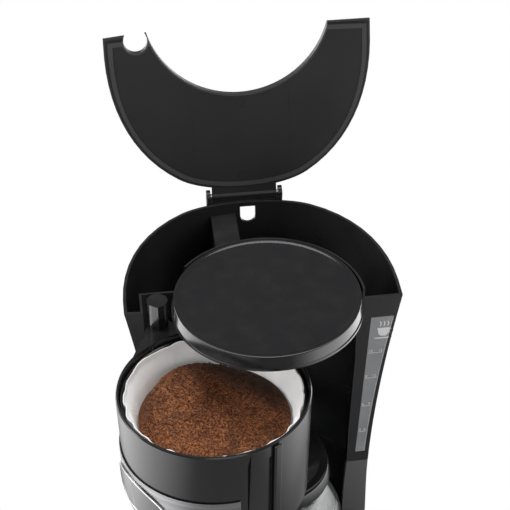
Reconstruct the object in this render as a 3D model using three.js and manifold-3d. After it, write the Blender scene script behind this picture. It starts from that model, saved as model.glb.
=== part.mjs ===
// Drip coffee maker: horseshoe water tank, hinged tank lid, swing-out filter holder and glass jug.
// Millimetres, +Z up, front is -Y. The origin is on the table, under the middle of the jug's hot plate.
import * as THREE from "three";
import { mergeVertices } from "three/addons/utils/BufferGeometryUtils.js";
import Module from "manifold-3d";

const wasm = await Module();
wasm.setup();

// Driving dimensions
const GAP = 0.3; // between pieces that touch
const WALL = 2.5;
const BAY_R = 79.2; // round bay that takes the filter holder and the jug
const BAY_WALL = 1.8;
const COLLAR_R = 77.4; // the bay's wall steps in to this above the rim, round the brew cap
const COLLAR_FRONT = 2; // the collar's right end; its left end stops at the pivot post
const BODY_HALF_TOP = 114.5; // half width of the tank at its rim
const BODY_HALF_LOW = 90.4; // half width of the body below the flare
const BODY_FRONT = 20;
const BODY_BACK_TOP = 169;
const BODY_BACK_LOW = 156;
const BASE_TOP = 40;
const SPLIT_Z = 132; // joint line between tank and lower body
const FLARE_Z = 105; // the body starts to widen here
const FLARE_CURVE = 1.7;
const RIM_Z = 317;
const CAP_TOP = 345;
const CAP_R = 75.2;
const CAP_SKIRT_R = 76.9;
const CAP_SKIRT = 13;
// The holder's cup; y is its middle when shut
const HOLDER = { r: 77, rLow: 74, top: 303, chamfer: 205, low: 186, wall: 2.4, y: -8 };
const HOLDER_FLOOR = HOLDER.low + HOLDER.wall;
const PIVOT = { x: -87, y: 27, top: 327, low: 180, r: 8.5, tip: 10 };
const SWING_OPEN = 44.6; // degrees that the holder stands swung out
const LID_HINGE = { y: 174, z: 321, r: 3.4, halfWidth: 28.5 };
const LID_OPEN = 104; // degrees that the lid stands open
const LID_T = 7;
const LID_FRONT = 22; // where the lid's two horns end when it is shut
const JUG = { low: 44.3, r: 65, neckR: 47, neck: 118, wall: 2.2 }; // neck: height of the glass
const PLATE_R = 60;
const FOOT_H = 5.7;

const FLARE_STEPS = 5;
const ROUND = 32; // sides of the large round pieces

const deg = (d) => (d * Math.PI) / 180;
const v2 = (x, y) => new THREE.Vector2(x, y);

// Materials
const finish = (color, roughness, metalness = 0, opacity = 1) =>
  new THREE.MeshStandardMaterial({ color, roughness, metalness, opacity, transparent: opacity < 1 });
const glossBlack = finish(0x121213, 0.15);
const satinBlack = finish(0x1c1c1d, 0.45);
const greyPlastic = finish(0x5a5a5c, 0.4);
const steel = finish(0xb9babd, 0.3, 1);
const badgeBlack = finish(0x0c0c0d, 0.2);
const smokedClear = finish(0x8f9396, 0.2, 0, 0.5);
const clearGlass = finish(0xe8eef0, 0.03, 0, 0.3);
const paper = finish(0xe9e7e2, 0.9);
const coffee = finish(0x5a2d1a, 0.95);
const rubber = finish(0x202020, 0.8);
const silicone = finish(0xd8d5cf, 0.6);
const aluminium = finish(0xa9abad, 0.4, 1);
const lightLens = finish(0xd06a20, 0.3);

// Geometry helpers
function solid(geometry) {
  const bare = geometry.index ? geometry.toNonIndexed() : geometry.clone();
  for (const name of Object.keys(bare.attributes)) if (name !== "position") bare.deleteAttribute(name);
  const merged = mergeVertices(bare, 1e-4);
  return new wasm.Manifold(
    new wasm.Mesh({
      numProp: 3,
      vertProperties: merged.attributes.position.array,
      triVerts: new Uint32Array(merged.index.array),
    }),
  );
}

function geometryOf(manifold) {
  const m = manifold.getMesh();
  const g = new THREE.BufferGeometry();
  g.setAttribute("position", new THREE.BufferAttribute(new Float32Array(m.vertProperties), 3));
  g.setIndex(new THREE.BufferAttribute(new Uint32Array(m.triVerts), 1));
  return g;
}

const union = (first, ...rest) => rest.reduce((a, b) => a.add(b), first);
const cut = (first, ...rest) => rest.reduce((a, b) => a.subtract(b), first);

function prism(shape, z0, z1, { steps = 1, segments = 5 } = {}) {
  const g = new THREE.ExtrudeGeometry(shape, {
    depth: z1 - z0,
    steps,
    curveSegments: segments,
    bevelEnabled: false,
  });
  return g.translate(0, 0, z0);
}

// A shape drawn in the XZ plane, as thick as the Y range
function slabXZ(shape, y0, y1, segments = 6) {
  const options = { depth: y1 - y0, curveSegments: segments, bevelEnabled: false };
  const g = new THREE.ExtrudeGeometry(shape, options);
  return solid(g.rotateX(Math.PI / 2).translate(0, y1, 0));
}

function polygon(points) {
  return new THREE.Shape(points.map(([x, y]) => v2(x, y)));
}

function box(x0, x1, y0, y1, z0, z1) {
  const g = new THREE.BoxGeometry(x1 - x0, y1 - y0, z1 - z0);
  return solid(g.translate((x0 + x1) / 2, (y0 + y1) / 2, (z0 + z1) / 2));
}

function disc(r, z0, z1, x = 0, y = 0, segments = 16) {
  const g = new THREE.CylinderGeometry(r, r, z1 - z0, segments);
  return solid(g.rotateX(Math.PI / 2).translate(x, y, (z0 + z1) / 2));
}

function rodX(r, x0, x1, y, z, segments = 12) {
  const g = new THREE.CylinderGeometry(r, r, x1 - x0, segments);
  return solid(g.rotateZ(Math.PI / 2).translate((x0 + x1) / 2, y, z));
}

function rodY(r, y0, y1, x, z, segments = 16) {
  const g = new THREE.CylinderGeometry(r, r, y1 - y0, segments);
  return solid(g.translate(x, (y0 + y1) / 2, z));
}

// A closed profile of [radius, z] pairs, turned round the Z axis.
function turned(profile, segments = 22, x = 0, y = 0) {
  const closed = [...profile, profile[0]].map(([r, z]) => v2(r, z));
  const g = new THREE.LatheGeometry(closed, segments).rotateX(Math.PI / 2);
  const made = solid(g.translate(x, y, 0));
  return made.volume() < 0 ? solid(flipped(g)) : made;
}

function flipped(geometry) {
  const g = geometry.clone();
  const i = g.index.array;
  for (let k = 0; k < i.length; k += 3) [i[k + 1], i[k + 2]] = [i[k + 2], i[k + 1]];
  return g;
}

function pipe(points, r, segments = 10, steps = 20) {
  const along = points.map(([x, y, z]) => new THREE.Vector3(x, y, z));
  const extrudePath = new THREE.CatmullRomCurve3(along, false, "centripetal");
  const section = new THREE.Shape().absarc(0, 0, r, 0, 2 * Math.PI);
  const options = { steps, extrudePath, curveSegments: segments, bevelEnabled: false };
  return solid(new THREE.ExtrudeGeometry(section, options));
}

// Plan of the tank and body: flat front, rounded back. inset moves every side inwards.
function bodyPlan(half, back, inset = 0) {
  const sx = (half - inset) / BODY_HALF_TOP;
  const depth = back - inset - BODY_FRONT;
  const px = (x) => x * sx;
  const scale = (depth - inset) / (BODY_BACK_TOP - BODY_FRONT);
  const py = (y) => BODY_FRONT + inset + (y - BODY_FRONT) * scale;
  const s = new THREE.Shape();
  s.moveTo(px(60), py(20));
  s.lineTo(px(BODY_HALF_TOP), py(21.5));
  s.lineTo(px(BODY_HALF_TOP), py(42));
  s.bezierCurveTo(px(113.5), py(92), px(94), py(134), px(57), py(157));
  s.bezierCurveTo(px(44), py(165), px(24), py(169), px(0), py(169));
  s.bezierCurveTo(px(-24), py(169), px(-44), py(165), px(-57), py(157));
  s.bezierCurveTo(px(-94), py(134), px(-113.5), py(92), px(-BODY_HALF_TOP), py(42));
  s.lineTo(px(-BODY_HALF_TOP), py(25));
  s.lineTo(px(-60), py(20));
  s.closePath();
  return s;
}

// Plan of the base: the body's back joined to a round front under the jug.
function basePlan(grow) {
  const half = BODY_HALF_LOW + 2 + grow;
  const back = BODY_BACK_LOW + 4 + grow;
  const s = new THREE.Shape();
  s.moveTo(half, -10);
  s.lineTo(half, ROUND);
  s.bezierCurveTo(half, 90, half * 0.83, 128, half * 0.5, back - 11);
  s.bezierCurveTo(half * 0.38, back - 4, half * 0.2, back, 0, back);
  s.bezierCurveTo(-half * 0.2, back, -half * 0.38, back - 4, -half * 0.5, back - 11);
  s.bezierCurveTo(-half * 0.83, 128, -half, 90, -half, ROUND);
  s.lineTo(-half, -10);
  s.absarc(0, -10, half, Math.PI, 2 * Math.PI, false);
  return s;
}

// How far the flare has opened at a height, from 0 to 1
const flareAt = (z) =>
  Math.pow(Math.min(1, Math.max(0, (z - FLARE_Z) / (RIM_Z - FLARE_Z))), FLARE_CURVE);
const halfWidthAt = (z) => BODY_HALF_LOW + (BODY_HALF_TOP - BODY_HALF_LOW) * flareAt(z);

// The body widens to the tank's rim in a hollow curve.
function flared(inset, z0, z1, steps) {
  const g = prism(bodyPlan(BODY_HALF_TOP, BODY_BACK_TOP, inset), z0, z1, { steps, segments: 5 });
  const p = g.attributes.position;
  for (let i = 0; i < p.count; i++) {
    const sx = (halfWidthAt(p.getZ(i)) - inset) / (BODY_HALF_TOP - inset);
    const back = BODY_BACK_LOW + (BODY_BACK_TOP - BODY_BACK_LOW) * flareAt(p.getZ(i));
    const y0 = BODY_FRONT + inset;
    const sy = (back - inset - y0) / (BODY_BACK_TOP - inset - y0);
    p.setX(i, p.getX(i) * sx);
    p.setY(i, y0 + (p.getY(i) - y0) * sy);
  }
  return solid(g);
}

// Everything in front of and inside a round wall of radius r: the bay, open to the front.
function bayVolume(r, z0, z1) {
  const side = Math.sqrt(r * r - (BODY_FRONT + 5) ** 2);
  return union(disc(r, z0, z1, 0, 0, ROUND), box(-side, side, -130, BODY_FRONT + 5, z0, z1));
}

// The bay's front edges lean in towards the base, so each leg gets a tapering lip.
const JAMB = [
  [77.6, 275],
  [74.6, 212],
  [72.6, 168],
  [72, SPLIT_Z],
  [69.8, 101],
  [68.4, 50],
  [68.2, 30],
];
function jamb(side, z0, z1) {
  const shape = polygon([...JAMB, [85, 30], [85, 275]].map(([x, z]) => [x * side, z]));
  return slabXZ(shape, BODY_FRONT, BODY_FRONT + 7.5).intersect(box(-90, 90, 0, 40, z0, z1));
}
const openBay = (z0, z1, leftTop) =>
  cut(bayVolume(BAY_R, z0, z1), jamb(1, z0, z1), jamb(-1, z0, Math.max(z0 + 1, Math.min(z1, leftTop))));

const POCKET = { x0: -99, x1: -60, y1: 48 }; // recess for the holder's pivot post

const DUCT = { x0: -31, x1: -9, y0: 112, y1: 146, top: 307 }; // hollow tower against the tank's back wall

// Water tank and upper body in one moulding
function upperBody() {
  const outer = flared(0, SPLIT_Z, RIM_Z, FLARE_STEPS);
  const tank = flared(WALL, SPLIT_Z + 3, RIM_Z + 1, FLARE_STEPS);
  const keepOut = union(
    bayVolume(BAY_R + BAY_WALL, SPLIT_Z, RIM_Z + 2),
    box(POCKET.x0 - 2, POCKET.x1, 0, POCKET.y1 + 2, PIVOT.low - 5, RIM_Z + 2),
    box(DUCT.x0, DUCT.x1, DUCT.y0, 180, SPLIT_Z, DUCT.top),
  );
  const step = disc(BAY_R + 1, RIM_Z - 8, RIM_Z - 4, 0, 0, ROUND).subtract(box(0, 90, -90, 18, 300, 350));
  const collar = cut(
    union(disc(COLLAR_R + BAY_WALL, RIM_Z - 8, CAP_TOP - 2, 0, 0, ROUND), step),
    box(-90, 1, -90, 18, 300, 350),
    box(0, 90, -90, COLLAR_FRONT, 300, 350),
  );
  return cut(
    union(outer.subtract(tank.subtract(keepOut)), collar),
    openBay(SPLIT_Z - 1, RIM_Z - 6, PIVOT.low),
    disc(COLLAR_R, RIM_Z - 7, CAP_TOP + 1, 0, 0, ROUND),
    box(POCKET.x0, POCKET.x1, 0, POCKET.y1, PIVOT.low, CAP_TOP + 1),
    box(DUCT.x0 + WALL, DUCT.x1 - WALL, DUCT.y0 + WALL, DUCT.y1, SPLIT_Z - 1, DUCT.top - WALL),
    gaugeSlot(0),
    overflowSlot(),
    rodY(RISER.r + 0.6, 70, 90, 0, RISER.through),
    disc(5.6, SPLIT_Z - 1, SPLIT_Z + 5, 0, 120),
    disc(5, SPLIT_Z - 1, SPLIT_Z + 5, 0, 92),
  );
}

// Water gauge: a tapering strip that leans with the body's side, edge0 to edge1 from it
const GAUGE = { z0: 142, z1: 295.5, left0: 79.2, left1: 88.6, edge0: 3.2, edge1: 1.6, y0: 16, y1: 26.5 };
function gaugeSlot(shrink) {
  const z0 = GAUGE.z0 + shrink;
  const z1 = GAUGE.z1 - shrink;
  const right = [0, 0.25, 0.5, 0.75, 1].map((t) => {
    const z = z0 + t * (z1 - z0);
    return [halfWidthAt(z) - GAUGE.edge0 - t * (GAUGE.edge1 - GAUGE.edge0) - shrink, z];
  });
  const outline = [[GAUGE.left0 + shrink, z0], ...right, [GAUGE.left1 + shrink, z1]];
  return slabXZ(polygon(outline), GAUGE.y0, GAUGE.y1 - shrink);
}

// The strip fills its slot, a little behind the panel's face and a little past its back.
function waterGauge() {
  const front = flared(0.5, SPLIT_Z, RIM_Z, FLARE_STEPS);
  const back = flared(WALL + 0.6, SPLIT_Z - 1, RIM_Z + 1, FLARE_STEPS);
  return gaugeSlot(GAP).intersect(front.subtract(back)).intersect(box(70, 115, 10, 32, 130, 310));
}

// Hole in the tank's back wall, under the hinge
const OVERFLOW = { x: 2.1, z: 303.7, r: 6.7, top: 313 };
function overflowSlot() {
  const s = new THREE.Shape();
  const { x, z, r, top } = OVERFLOW;
  s.moveTo(x - r, top);
  s.lineTo(x - r, z);
  s.absarc(x, z, r, Math.PI, 2 * Math.PI, false);
  s.lineTo(x + r, top);
  s.closePath();
  return slabXZ(s, 145, 185);
}

// Two ears and a bridge that carry the lid's pin, on the back of the tank
function hingeBracket() {
  const w = LID_HINGE.halfWidth;
  const ear = (x0, x1) =>
    union(
      rodX(5.6, x0, x1, LID_HINGE.y, LID_HINGE.z),
      box(x0, x1, 169.8, 180.6, RIM_Z - 14, LID_HINGE.z),
    );
  const bridge = box(-w - 5, w + 5, 169.8, 180.6, RIM_Z - 3.6, RIM_Z - 0.4);
  return cut(
    union(ear(-w - 5, -w - 1.5), ear(w + 1.5, w + 5), bridge),
    rodX(LID_HINGE.r - 1.2, -w - 6, w + 6, LID_HINGE.y, LID_HINGE.z),
  );
}

function hingePin() {
  const w = LID_HINGE.halfWidth + 4.6;
  return rodX(LID_HINGE.r - 1.5, -w, w, LID_HINGE.y, LID_HINGE.z, 16);
}

const LEG_FRONT = BODY_FRONT + 6; // back of the satin panels on the legs

// Lower body: an open-ended D-shaped tube round the jug's bay
function lowerBody() {
  const z0 = BASE_TOP + GAP;
  const z1 = SPLIT_Z - GAP;
  const outer = flared(0, z0, z1, 4);
  const inner = flared(WALL, z0 - 1, z1 + 1, 4);
  const keepOut = union(
    bayVolume(BAY_R + BAY_WALL, z0 - 2, z1 + 2),
    box(-95, 95, 0, LEG_FRONT + WALL, z0 - 2, z1 + 2),
  );
  return cut(
    outer.subtract(inner.subtract(keepOut)),
    openBay(z0 - 2, z1 + 2, z1 + 2),
    box(-95, 95, 0, LEG_FRONT + GAP, z0 - 1, z1 + 1),
  );
}

// Satin strip on the front of each leg of the lower body
function legPanel(side) {
  const strip = cut(flared(0, BASE_TOP + GAP, SPLIT_Z - GAP, 4), openBay(30, 160, 160));
  const x0 = side > 0 ? 60 : -95;
  return strip.intersect(box(x0, x0 + 35, 0, LEG_FRONT, 30, 160));
}

const SCREWS = [
  [-68, -30],
  [68, -30],
  [-58, 105],
  [58, 105],
];

function baseShell() {
  const outer = solid(prism(basePlan(0), 6, BASE_TOP));
  const inner = solid(prism(basePlan(-WALL), 5, BASE_TOP - WALL));
  const bosses = SCREWS.map(([x, y]) => disc(4.6, 8.8, BASE_TOP - 1, x, y, 10));
  const pilots = SCREWS.map(([x, y]) => disc(1.9, 8, 18, x, y, 8));
  return cut(
    union(outer.subtract(inner), ...bosses),
    ...pilots,
    disc(PLATE_R + 3.6, 30, 50, 0, 0, ROUND),
    disc(9, 30, 50, -1, 117),
    disc(9, 30, 50, 3, 89),
    buttonHole(0),
    pilotHole(0),
    rodY(7.2, 130, 170, 45, 22),
  );
}

function baseCover() {
  const plate = solid(prism(basePlan(-WALL - GAP), 6, 8.5));
  const vents = [-1, 0, 1].map((i) => box(-30, 30, 70 + i * 12, 74 + i * 12, 5, 10));
  return cut(plate, ...SCREWS.map(([x, y]) => disc(2.3, 5, 10, x, y, 10)), ...vents);
}

function baseScrew([x, y]) {
  const slot = box(x - 2.4, x + 2.4, y - 0.5, y + 0.5, 3, 4.8);
  return union(disc(1.7, 5, 17, x, y, 8), disc(3.6, 4, 5.7, x, y, 12)).subtract(slot);
}

const FEET = {
  foot_front_left: [-60, -52],
  foot_front_right: [60, -52],
  foot_rear_left: [-62, 84],
  foot_rear_right: [62, 84],
};
const foot = (x, y, r = 8) => turned([[0, 0], [r - 1, 0], [r, 1], [r, FOOT_H], [0, FOOT_H]], 16, x, y);

// Power switch: a round button in the base's front, sloped with the round wall
const BUTTON = { angle: -62, r: 8, z: 24, wallR: 91.5 };
function outward(geometry, spin) {
  const turn = new THREE.Matrix4().makeRotationZ(deg(spin));
  return solid(geometry.applyMatrix4(turn).translate(0, -10, 0));
}
const radial = (r, x0, x1, z, segments = 16) =>
  new THREE.CylinderGeometry(r, r, x1 - x0, segments).rotateZ(Math.PI / 2).translate((x0 + x1) / 2, 0, z);
const buttonHole = () => outward(radial(BUTTON.r + 0.4, 82, 96, BUTTON.z), BUTTON.angle);
const powerButton = () =>
  union(
    outward(radial(BUTTON.r, 86, BUTTON.wallR + 2.2, BUTTON.z), BUTTON.angle),
    outward(radial(BUTTON.r + 1.4, 84, 86.4, BUTTON.z), BUTTON.angle),
    outward(radial(2.5, 78, 84.4, BUTTON.z, 12), BUTTON.angle),
  );
const switchBlock = () =>
  cut(
    outward(new THREE.BoxGeometry(18, 24, 18).translate(69, 0, BUTTON.z), BUTTON.angle),
    outward(radial(2.9, 70, 80, BUTTON.z, 12), BUTTON.angle),
  );
const PILOT_ANGLE = -48;
const pilotHole = () => outward(radial(2.6, 82, 96, BUTTON.z, 16), PILOT_ANGLE);
const pilotLight = () =>
  union(
    outward(radial(2.3, 86, BUTTON.wallR + 0.6, BUTTON.z, 16), PILOT_ANGLE),
    outward(radial(3.6, 84, 86.4, BUTTON.z, 16), PILOT_ANGLE),
  );

// Hot plate with the flow heater clamped under it
function hotPlate() {
  const r = PLATE_R;
  return turned([[0, 41.5], [r - 3, 41.5], [r - 3, 39], [r, 39], [r, 43], [r - 2, 44], [0, 44]], ROUND);
}

function plateSeal() {
  const r = PLATE_R + GAP;
  return turned([[r, 38], [r + 3, 38], [r + 3, 40], [r + 4.3, 40.3], [r + 4.3, 41.2], [r, 41.8]], ROUND);
}

function heater() {
  const arc = [];
  for (let i = 0; i <= 12; i++) {
    const a = deg(110 + (i * 320) / 12);
    arc.push([42 * Math.cos(a), 42 * Math.sin(a), 33]);
  }
  return pipe(arc, 7, 4, 24);
}

const thermostat = () => union(disc(9, 29.5, 41.2, 14, -12, 20), box(8, 20, -14, -10, 26, 30));
const thermalFuse = () => union(rodX(3, -22, -4, 12, 37.9, 12), box(-15, -11, 10, 14, 33, 36));

// Cold water falls from the tank through the check valve, and hot water rises to the brew head.
const RISER = { r: 4, y: 92, through: 311, up: 69 }; // it passes the bay's wall, then climbs at y = up
function checkValve() {
  const z = SPLIT_Z;
  const body = [
    [0, z - 4], [5.2, z - 4], [5.2, z + 3.3], [8, z + 3.3], [8, z + 6], [5, z + 10], [0, z + 10],
  ];
  return cut(
    turned(body, 16, 0, 120),
    turned([[0, z - 5], [2.6, z - 5], [2.6, z + 4], [0, z + 4]], 10, 0, 120),
    box(-0.6, 0.6, 110, 130, z + 6.5, z + 11),
  );
}
function coldHose() {
  const course = [
    [0, 120, SPLIT_Z - 4.4], [0, 120, 90], [0, 120, 52], [-2, 116, 36],
    [-10, 90, 30], [-18, 58, 32], [-19.5, 50, 33],
  ];
  return pipe(course, 4.6, 4, 26);
}
function hotRiser() {
  const { y, through, up } = RISER;
  const course = [
    [19.5, 50, 33], [18, 60, 31], [8, 84, 32], [0, y, 48], [0, y, 120], [0, y, 250], [0, y, through - 14],
    [0, y - 3, through - 3], [0, y - 12, through], [0, up + 3, through + 2], [0, up, through + 9],
    [0, up, 330],
  ];
  return pipe(course, RISER.r, 4, 40);
}

// Brew head: a channel from the collar to the middle, with the shower under it and the round cap over it
function brewChannel() {
  const body = union(box(-9, 9, -6, 76, 323, 336), disc(17, 323, 326));
  const inlet = disc(RISER.r + GAP, 320, 328, 0, RISER.up, 16);
  return cut(body, box(-6.5, 6.5, -3.5, 80, 325.2, 337), disc(3, 320, 328, 0, 0, 16), inlet);
}
function showerPlate() {
  const holes = [];
  for (let i = 0; i < 8; i++) {
    const a = deg(45 * i);
    holes.push(disc(1.6, 315, 325, 34 * Math.cos(a), 34 * Math.sin(a), 6));
  }
  const side = [
    [0, 319], [52, 319], [54, 321.4], [54, 322.7], [52.6, 322.7], [50.6, 320.8], [0, 320.8],
  ];
  const dish = turned(side, ROUND);
  return cut(dish, ...holes);
}
function brewCap() {
  const z = CAP_TOP;
  const r = CAP_SKIRT_R;
  const low = z - CAP_SKIRT;
  const shell = turned(
    [
      [0, z - 0.6], [CAP_R - 6, z - 0.9], [CAP_R - 1.6, z], [CAP_R, z - 0.8], [r - 0.8, low + 3],
      [r, low + 2.2], [r, low], [r - 2.8, low], [CAP_R - 2.2, z - 4], [0, z - 3.2],
    ],
    ROUND,
  );
  const stem = [-1, 1].map((s) => box(11 * s - 1.2, 11 * s + 1.2, -30, 30, 326.6, z - 2));
  return cut(union(shell, ...stem), box(-10, 10, 60, 90, 325, 337.5));
}

// Fixed pin that the holder's post drops over
function pivotPin() {
  const { x, y, low, top } = PIVOT;
  return union(disc(3.4, low + GAP, top - 6, x, y, 16), disc(6, low + GAP, low + 3, x, y, 16));
}

// The cord leaves the base at the back through this bush.
const cordBush = () =>
  cut(union(rodY(6.8, 133, 157, 45, 22), rodY(9, 131, 134, 45, 22)), rodY(3.6, 125, 170, 45, 22, 12));

// Filter holder, modelled closed: a round cup, a web out to the pivot post, and the post
// The post is round, with a blunt edge down its front.
function postSection(r) {
  const s = new THREE.Shape();
  const ahead = deg(SWING_OPEN - 90); // straight towards the front when swung out
  const half = Math.acos(r / PIVOT.tip);
  s.absarc(PIVOT.x, PIVOT.y, r, ahead + half, ahead - half + 2 * Math.PI, false);
  s.lineTo(PIVOT.x + PIVOT.tip * Math.cos(ahead), PIVOT.y + PIVOT.tip * Math.sin(ahead));
  s.closePath();
  return s;
}

// The cup's outside: nearly straight, with a cone at the bottom
const cupProfile = (inset) => [
  [0, HOLDER.low + inset],
  [50 - inset, HOLDER.low + inset],
  [HOLDER.rLow - inset, HOLDER.chamfer],
  [HOLDER.r - inset, HOLDER.top],
];

function filterHolder() {
  const { r, top, low, wall, y } = HOLDER;
  const cup = turned([...cupProfile(0), [0, top]], ROUND, 0, y);
  const inside = turned([...cupProfile(wall), [r - wall, top + 20], [0, top + 20]], ROUND, 0, y);
  const reach = Math.hypot(PIVOT.x, PIVOT.y - y);
  const toPivot = Math.atan2(PIVOT.y - y, PIVOT.x);
  const lean = Math.acos((HOLDER.rLow - PIVOT.r) / reach);
  const on = (cy, cx, rad, a) => [cx + rad * Math.cos(a), cy + rad * Math.sin(a)];
  const web = polygon([
    on(y, 0, HOLDER.rLow - 1, toPivot + lean),
    [0, y],
    on(y, 0, HOLDER.rLow - 1, toPivot - deg(12)),
    [PIVOT.x + 2, PIVOT.y + PIVOT.r - 0.4],
    on(PIVOT.y, PIVOT.x, PIVOT.r - 1, toPivot + lean),
  ]);
  const post = solid(prism(postSection(PIVOT.r), low, PIVOT.top, { segments: 6 }));
  const thumb = cupSkin(-1.3, 8, top - 84, top - 12).intersect(wedge(-31.5, -16, 60, 90, low, top));
  return cut(
    union(cup, solid(prism(web, low, top)), post),
    inside,
    thumb,
    disc(3.7, low - 5, PIVOT.top - 5.4, PIVOT.x, PIVOT.y, 16),
    disc(6.3, low - 5, low + 20, 0, y, 16),
  );
}

// A sector of a ring about the cup's axis between two angles
function wedge(a0, a1, r0, r1, z0, z1) {
  const s = new THREE.Shape();
  s.absarc(0, HOLDER.y, r1, deg(a0), deg(a1), false);
  s.absarc(0, HOLDER.y, r0, deg(a1), deg(a0), true);
  return solid(prism(s, z0, z1, { segments: 14 }));
}

const BAND = { z0: HOLDER.chamfer + 6, z1: HOLDER.top - 49, a0: -165, a1: -36, t: 1 };

// A ring that follows the cup's wall, from r0 to r1 outside it
function cupSkin(r0, r1, z0, z1) {
  const { r, rLow, top, chamfer, y } = HOLDER;
  const at = (z) => rLow + ((r - rLow) * (z - chamfer)) / (top - chamfer);
  const ring = [[at(z0) + r0, z0], [at(z0) + r1, z0], [at(z1) + r1, z1], [at(z1) + r0, z1]];
  return turned(ring, 2 * ROUND, 0, y);
}

const holderBand = () =>
  cupSkin(GAP, GAP + BAND.t, BAND.z0, BAND.z1).intersect(wedge(BAND.a0, BAND.a1, 60, 100, 200, 300));

const BADGE_TURN = -18; // degrees round the cup from its front
function holderBadge() {
  const oval = new THREE.Shape().absellipse(0, 0, 35, 16, 0, 2 * Math.PI);
  const plug = slabXZ(oval, -90, -60, 8)
    .rotate([0, 0, BADGE_TURN])
    .translate([0, HOLDER.y, (BAND.z0 + BAND.z1) / 2]);
  return plug.intersect(cupSkin(BAND.t + 2 * GAP, BAND.t + 1.8, BAND.z0, BAND.z1));
}

const holderGrip = () =>
  cupSkin(GAP, 3.4, HOLDER.top - 84, HOLDER.top - 2).intersect(wedge(-15.2, -10, 60, 100, 200, 330));

// Removable basket that hangs in the holder by its rim
const BASKET = {
  low: HOLDER_FLOOR + 3.8,
  r: HOLDER.r - HOLDER.wall - 0.8,
  top: HOLDER.top - 6,
  lowR: 44,
  t: 1.6,
};
function filterBasket() {
  const { low, r, lowR, t, top } = BASKET;
  const side = [
    [0, low], [lowR, low], [r - 4.4, top - 11.6], [r, top - 5.6], [r, top], [r - t, top],
    [r - t, top - 4.6], [r - 4.2 - t, top - 10.6], [lowR - 1.4, low + t], [0, low + t],
  ];
  const ribs = [0, 120, 240].map((a) =>
    disc(2.2, low - 1, low + 3, 24 * Math.cos(deg(a)), HOLDER.y + 24 * Math.sin(deg(a)), 8),
  );
  return cut(turned(side, ROUND, 0, HOLDER.y), disc(8, low - 1, low + 3, 0, HOLDER.y, 16), ...ribs);
}

const PAPER = { low: BASKET.low + 2.4, r: BASKET.r - 2.4, top: BASKET.top + 1.5, lowR: 41.6, t: 1.2 };
function paperFilter() {
  const { low, r, lowR, t, top } = PAPER;
  const bend = BASKET.top - 4.6; // the paper stands up straight above this
  const side = [
    [0, low], [lowR, low], [r - 4, bend - 5.4], [r, bend], [r, top], [r - t, top],
    [r - t, bend + 0.4], [r - 3.8 - t, bend - 4.8], [lowR - 1, low + t], [0, low + t],
  ];
  return turned(side, ROUND, 0, HOLDER.y);
}

function coffeeGrounds() {
  const low = PAPER.low + PAPER.t + 0.6;
  const side = [[0, low], [40, low], [61, 275], [50, 280], [34, 284], [16, 286.5], [0, 287.5]];
  return turned(side, ROUND, 0, HOLDER.y);
}

// Drip stop: a plunger in the holder's bottom that the jug's lid lifts, with its spring
function dripValve() {
  const z = HOLDER_FLOOR;
  return union(
    disc(5.2, HOLDER.low - 5, z + 1.4, 0, HOLDER.y, 16),
    disc(6.9, z + 0.4, z + 1.6, 0, HOLDER.y, 16),
  );
}
function valveSpring() {
  const z = HOLDER_FLOOR + 1.9;
  return turned([[3.6, z], [5, z], [5, z + 1.5], [3.6, z + 1.5]], 16, 0, HOLDER.y);
}

// Tank lid, modelled closed: a horseshoe plate with a stepped edge, a notch for the post and a hinge tab
const lidPlan = (inset) => bodyPlan(BODY_HALF_TOP - 0.2, BODY_BACK_TOP - 0.6, inset);

function tankLid() {
  const z0 = RIM_Z + 1;
  const low = solid(prism(lidPlan(3.6), z0, z0 + 2.6));
  const mid = solid(prism(lidPlan(1.6), z0 + 2, z0 + 4.4));
  const high = solid(prism(lidPlan(0), z0 + 3.8, z0 + LID_T));
  const arms = union(
    rodX(LID_HINGE.r, -LID_HINGE.halfWidth, LID_HINGE.halfWidth, LID_HINGE.y, LID_HINGE.z),
    box(-LID_HINGE.halfWidth, LID_HINGE.halfWidth, 164, LID_HINGE.y, z0 + 0.6, z0 + 4.4),
  );
  const plate = cut(
    union(low, mid, high),
    disc(COLLAR_R + BAY_WALL + 1.2, z0 - 1, z0 + 10, 0, 0, ROUND),
    box(-115, 115, -10, LID_FRONT, z0 - 1, z0 + 10),
    disc(PIVOT.r + 1.7, z0 - 1, z0 + 10, PIVOT.x, PIVOT.y + 1, 24),
  );
  return cut(union(plate, arms), rodX(LID_HINGE.r - 1.1, -40, 40, LID_HINGE.y, LID_HINGE.z));
}

// Jug
function jugGlass() {
  const z = JUG.low;
  const floor = z + 3.4;
  const outside = [
    [0, z], [50, z], [55, z + 2], [61.5, z + 18], [JUG.r, z + 42], [JUG.r - 0.6, z + 52], [61.6, z + 66],
    [57, z + 80], [51, z + 96], [JUG.neckR, z + 104], [JUG.neckR, z + JUG.neck],
  ];
  const inside = outside.slice(1).reverse().map(([r, h]) => [r - JUG.wall, Math.max(h + 0.4, floor)]);
  return turned([...outside, ...inside, [0, floor]], ROUND);
}

function jugBand() {
  const z = JUG.low + JUG.neck - 14;
  const r = JUG.neckR;
  const side = [[r + GAP, z + 3.2], [r + 5.5, z], [r + 6, z + 4], [r + 4.4, z + 13], [r + GAP, z + 13]];
  return turned(side, ROUND);
}

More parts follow.
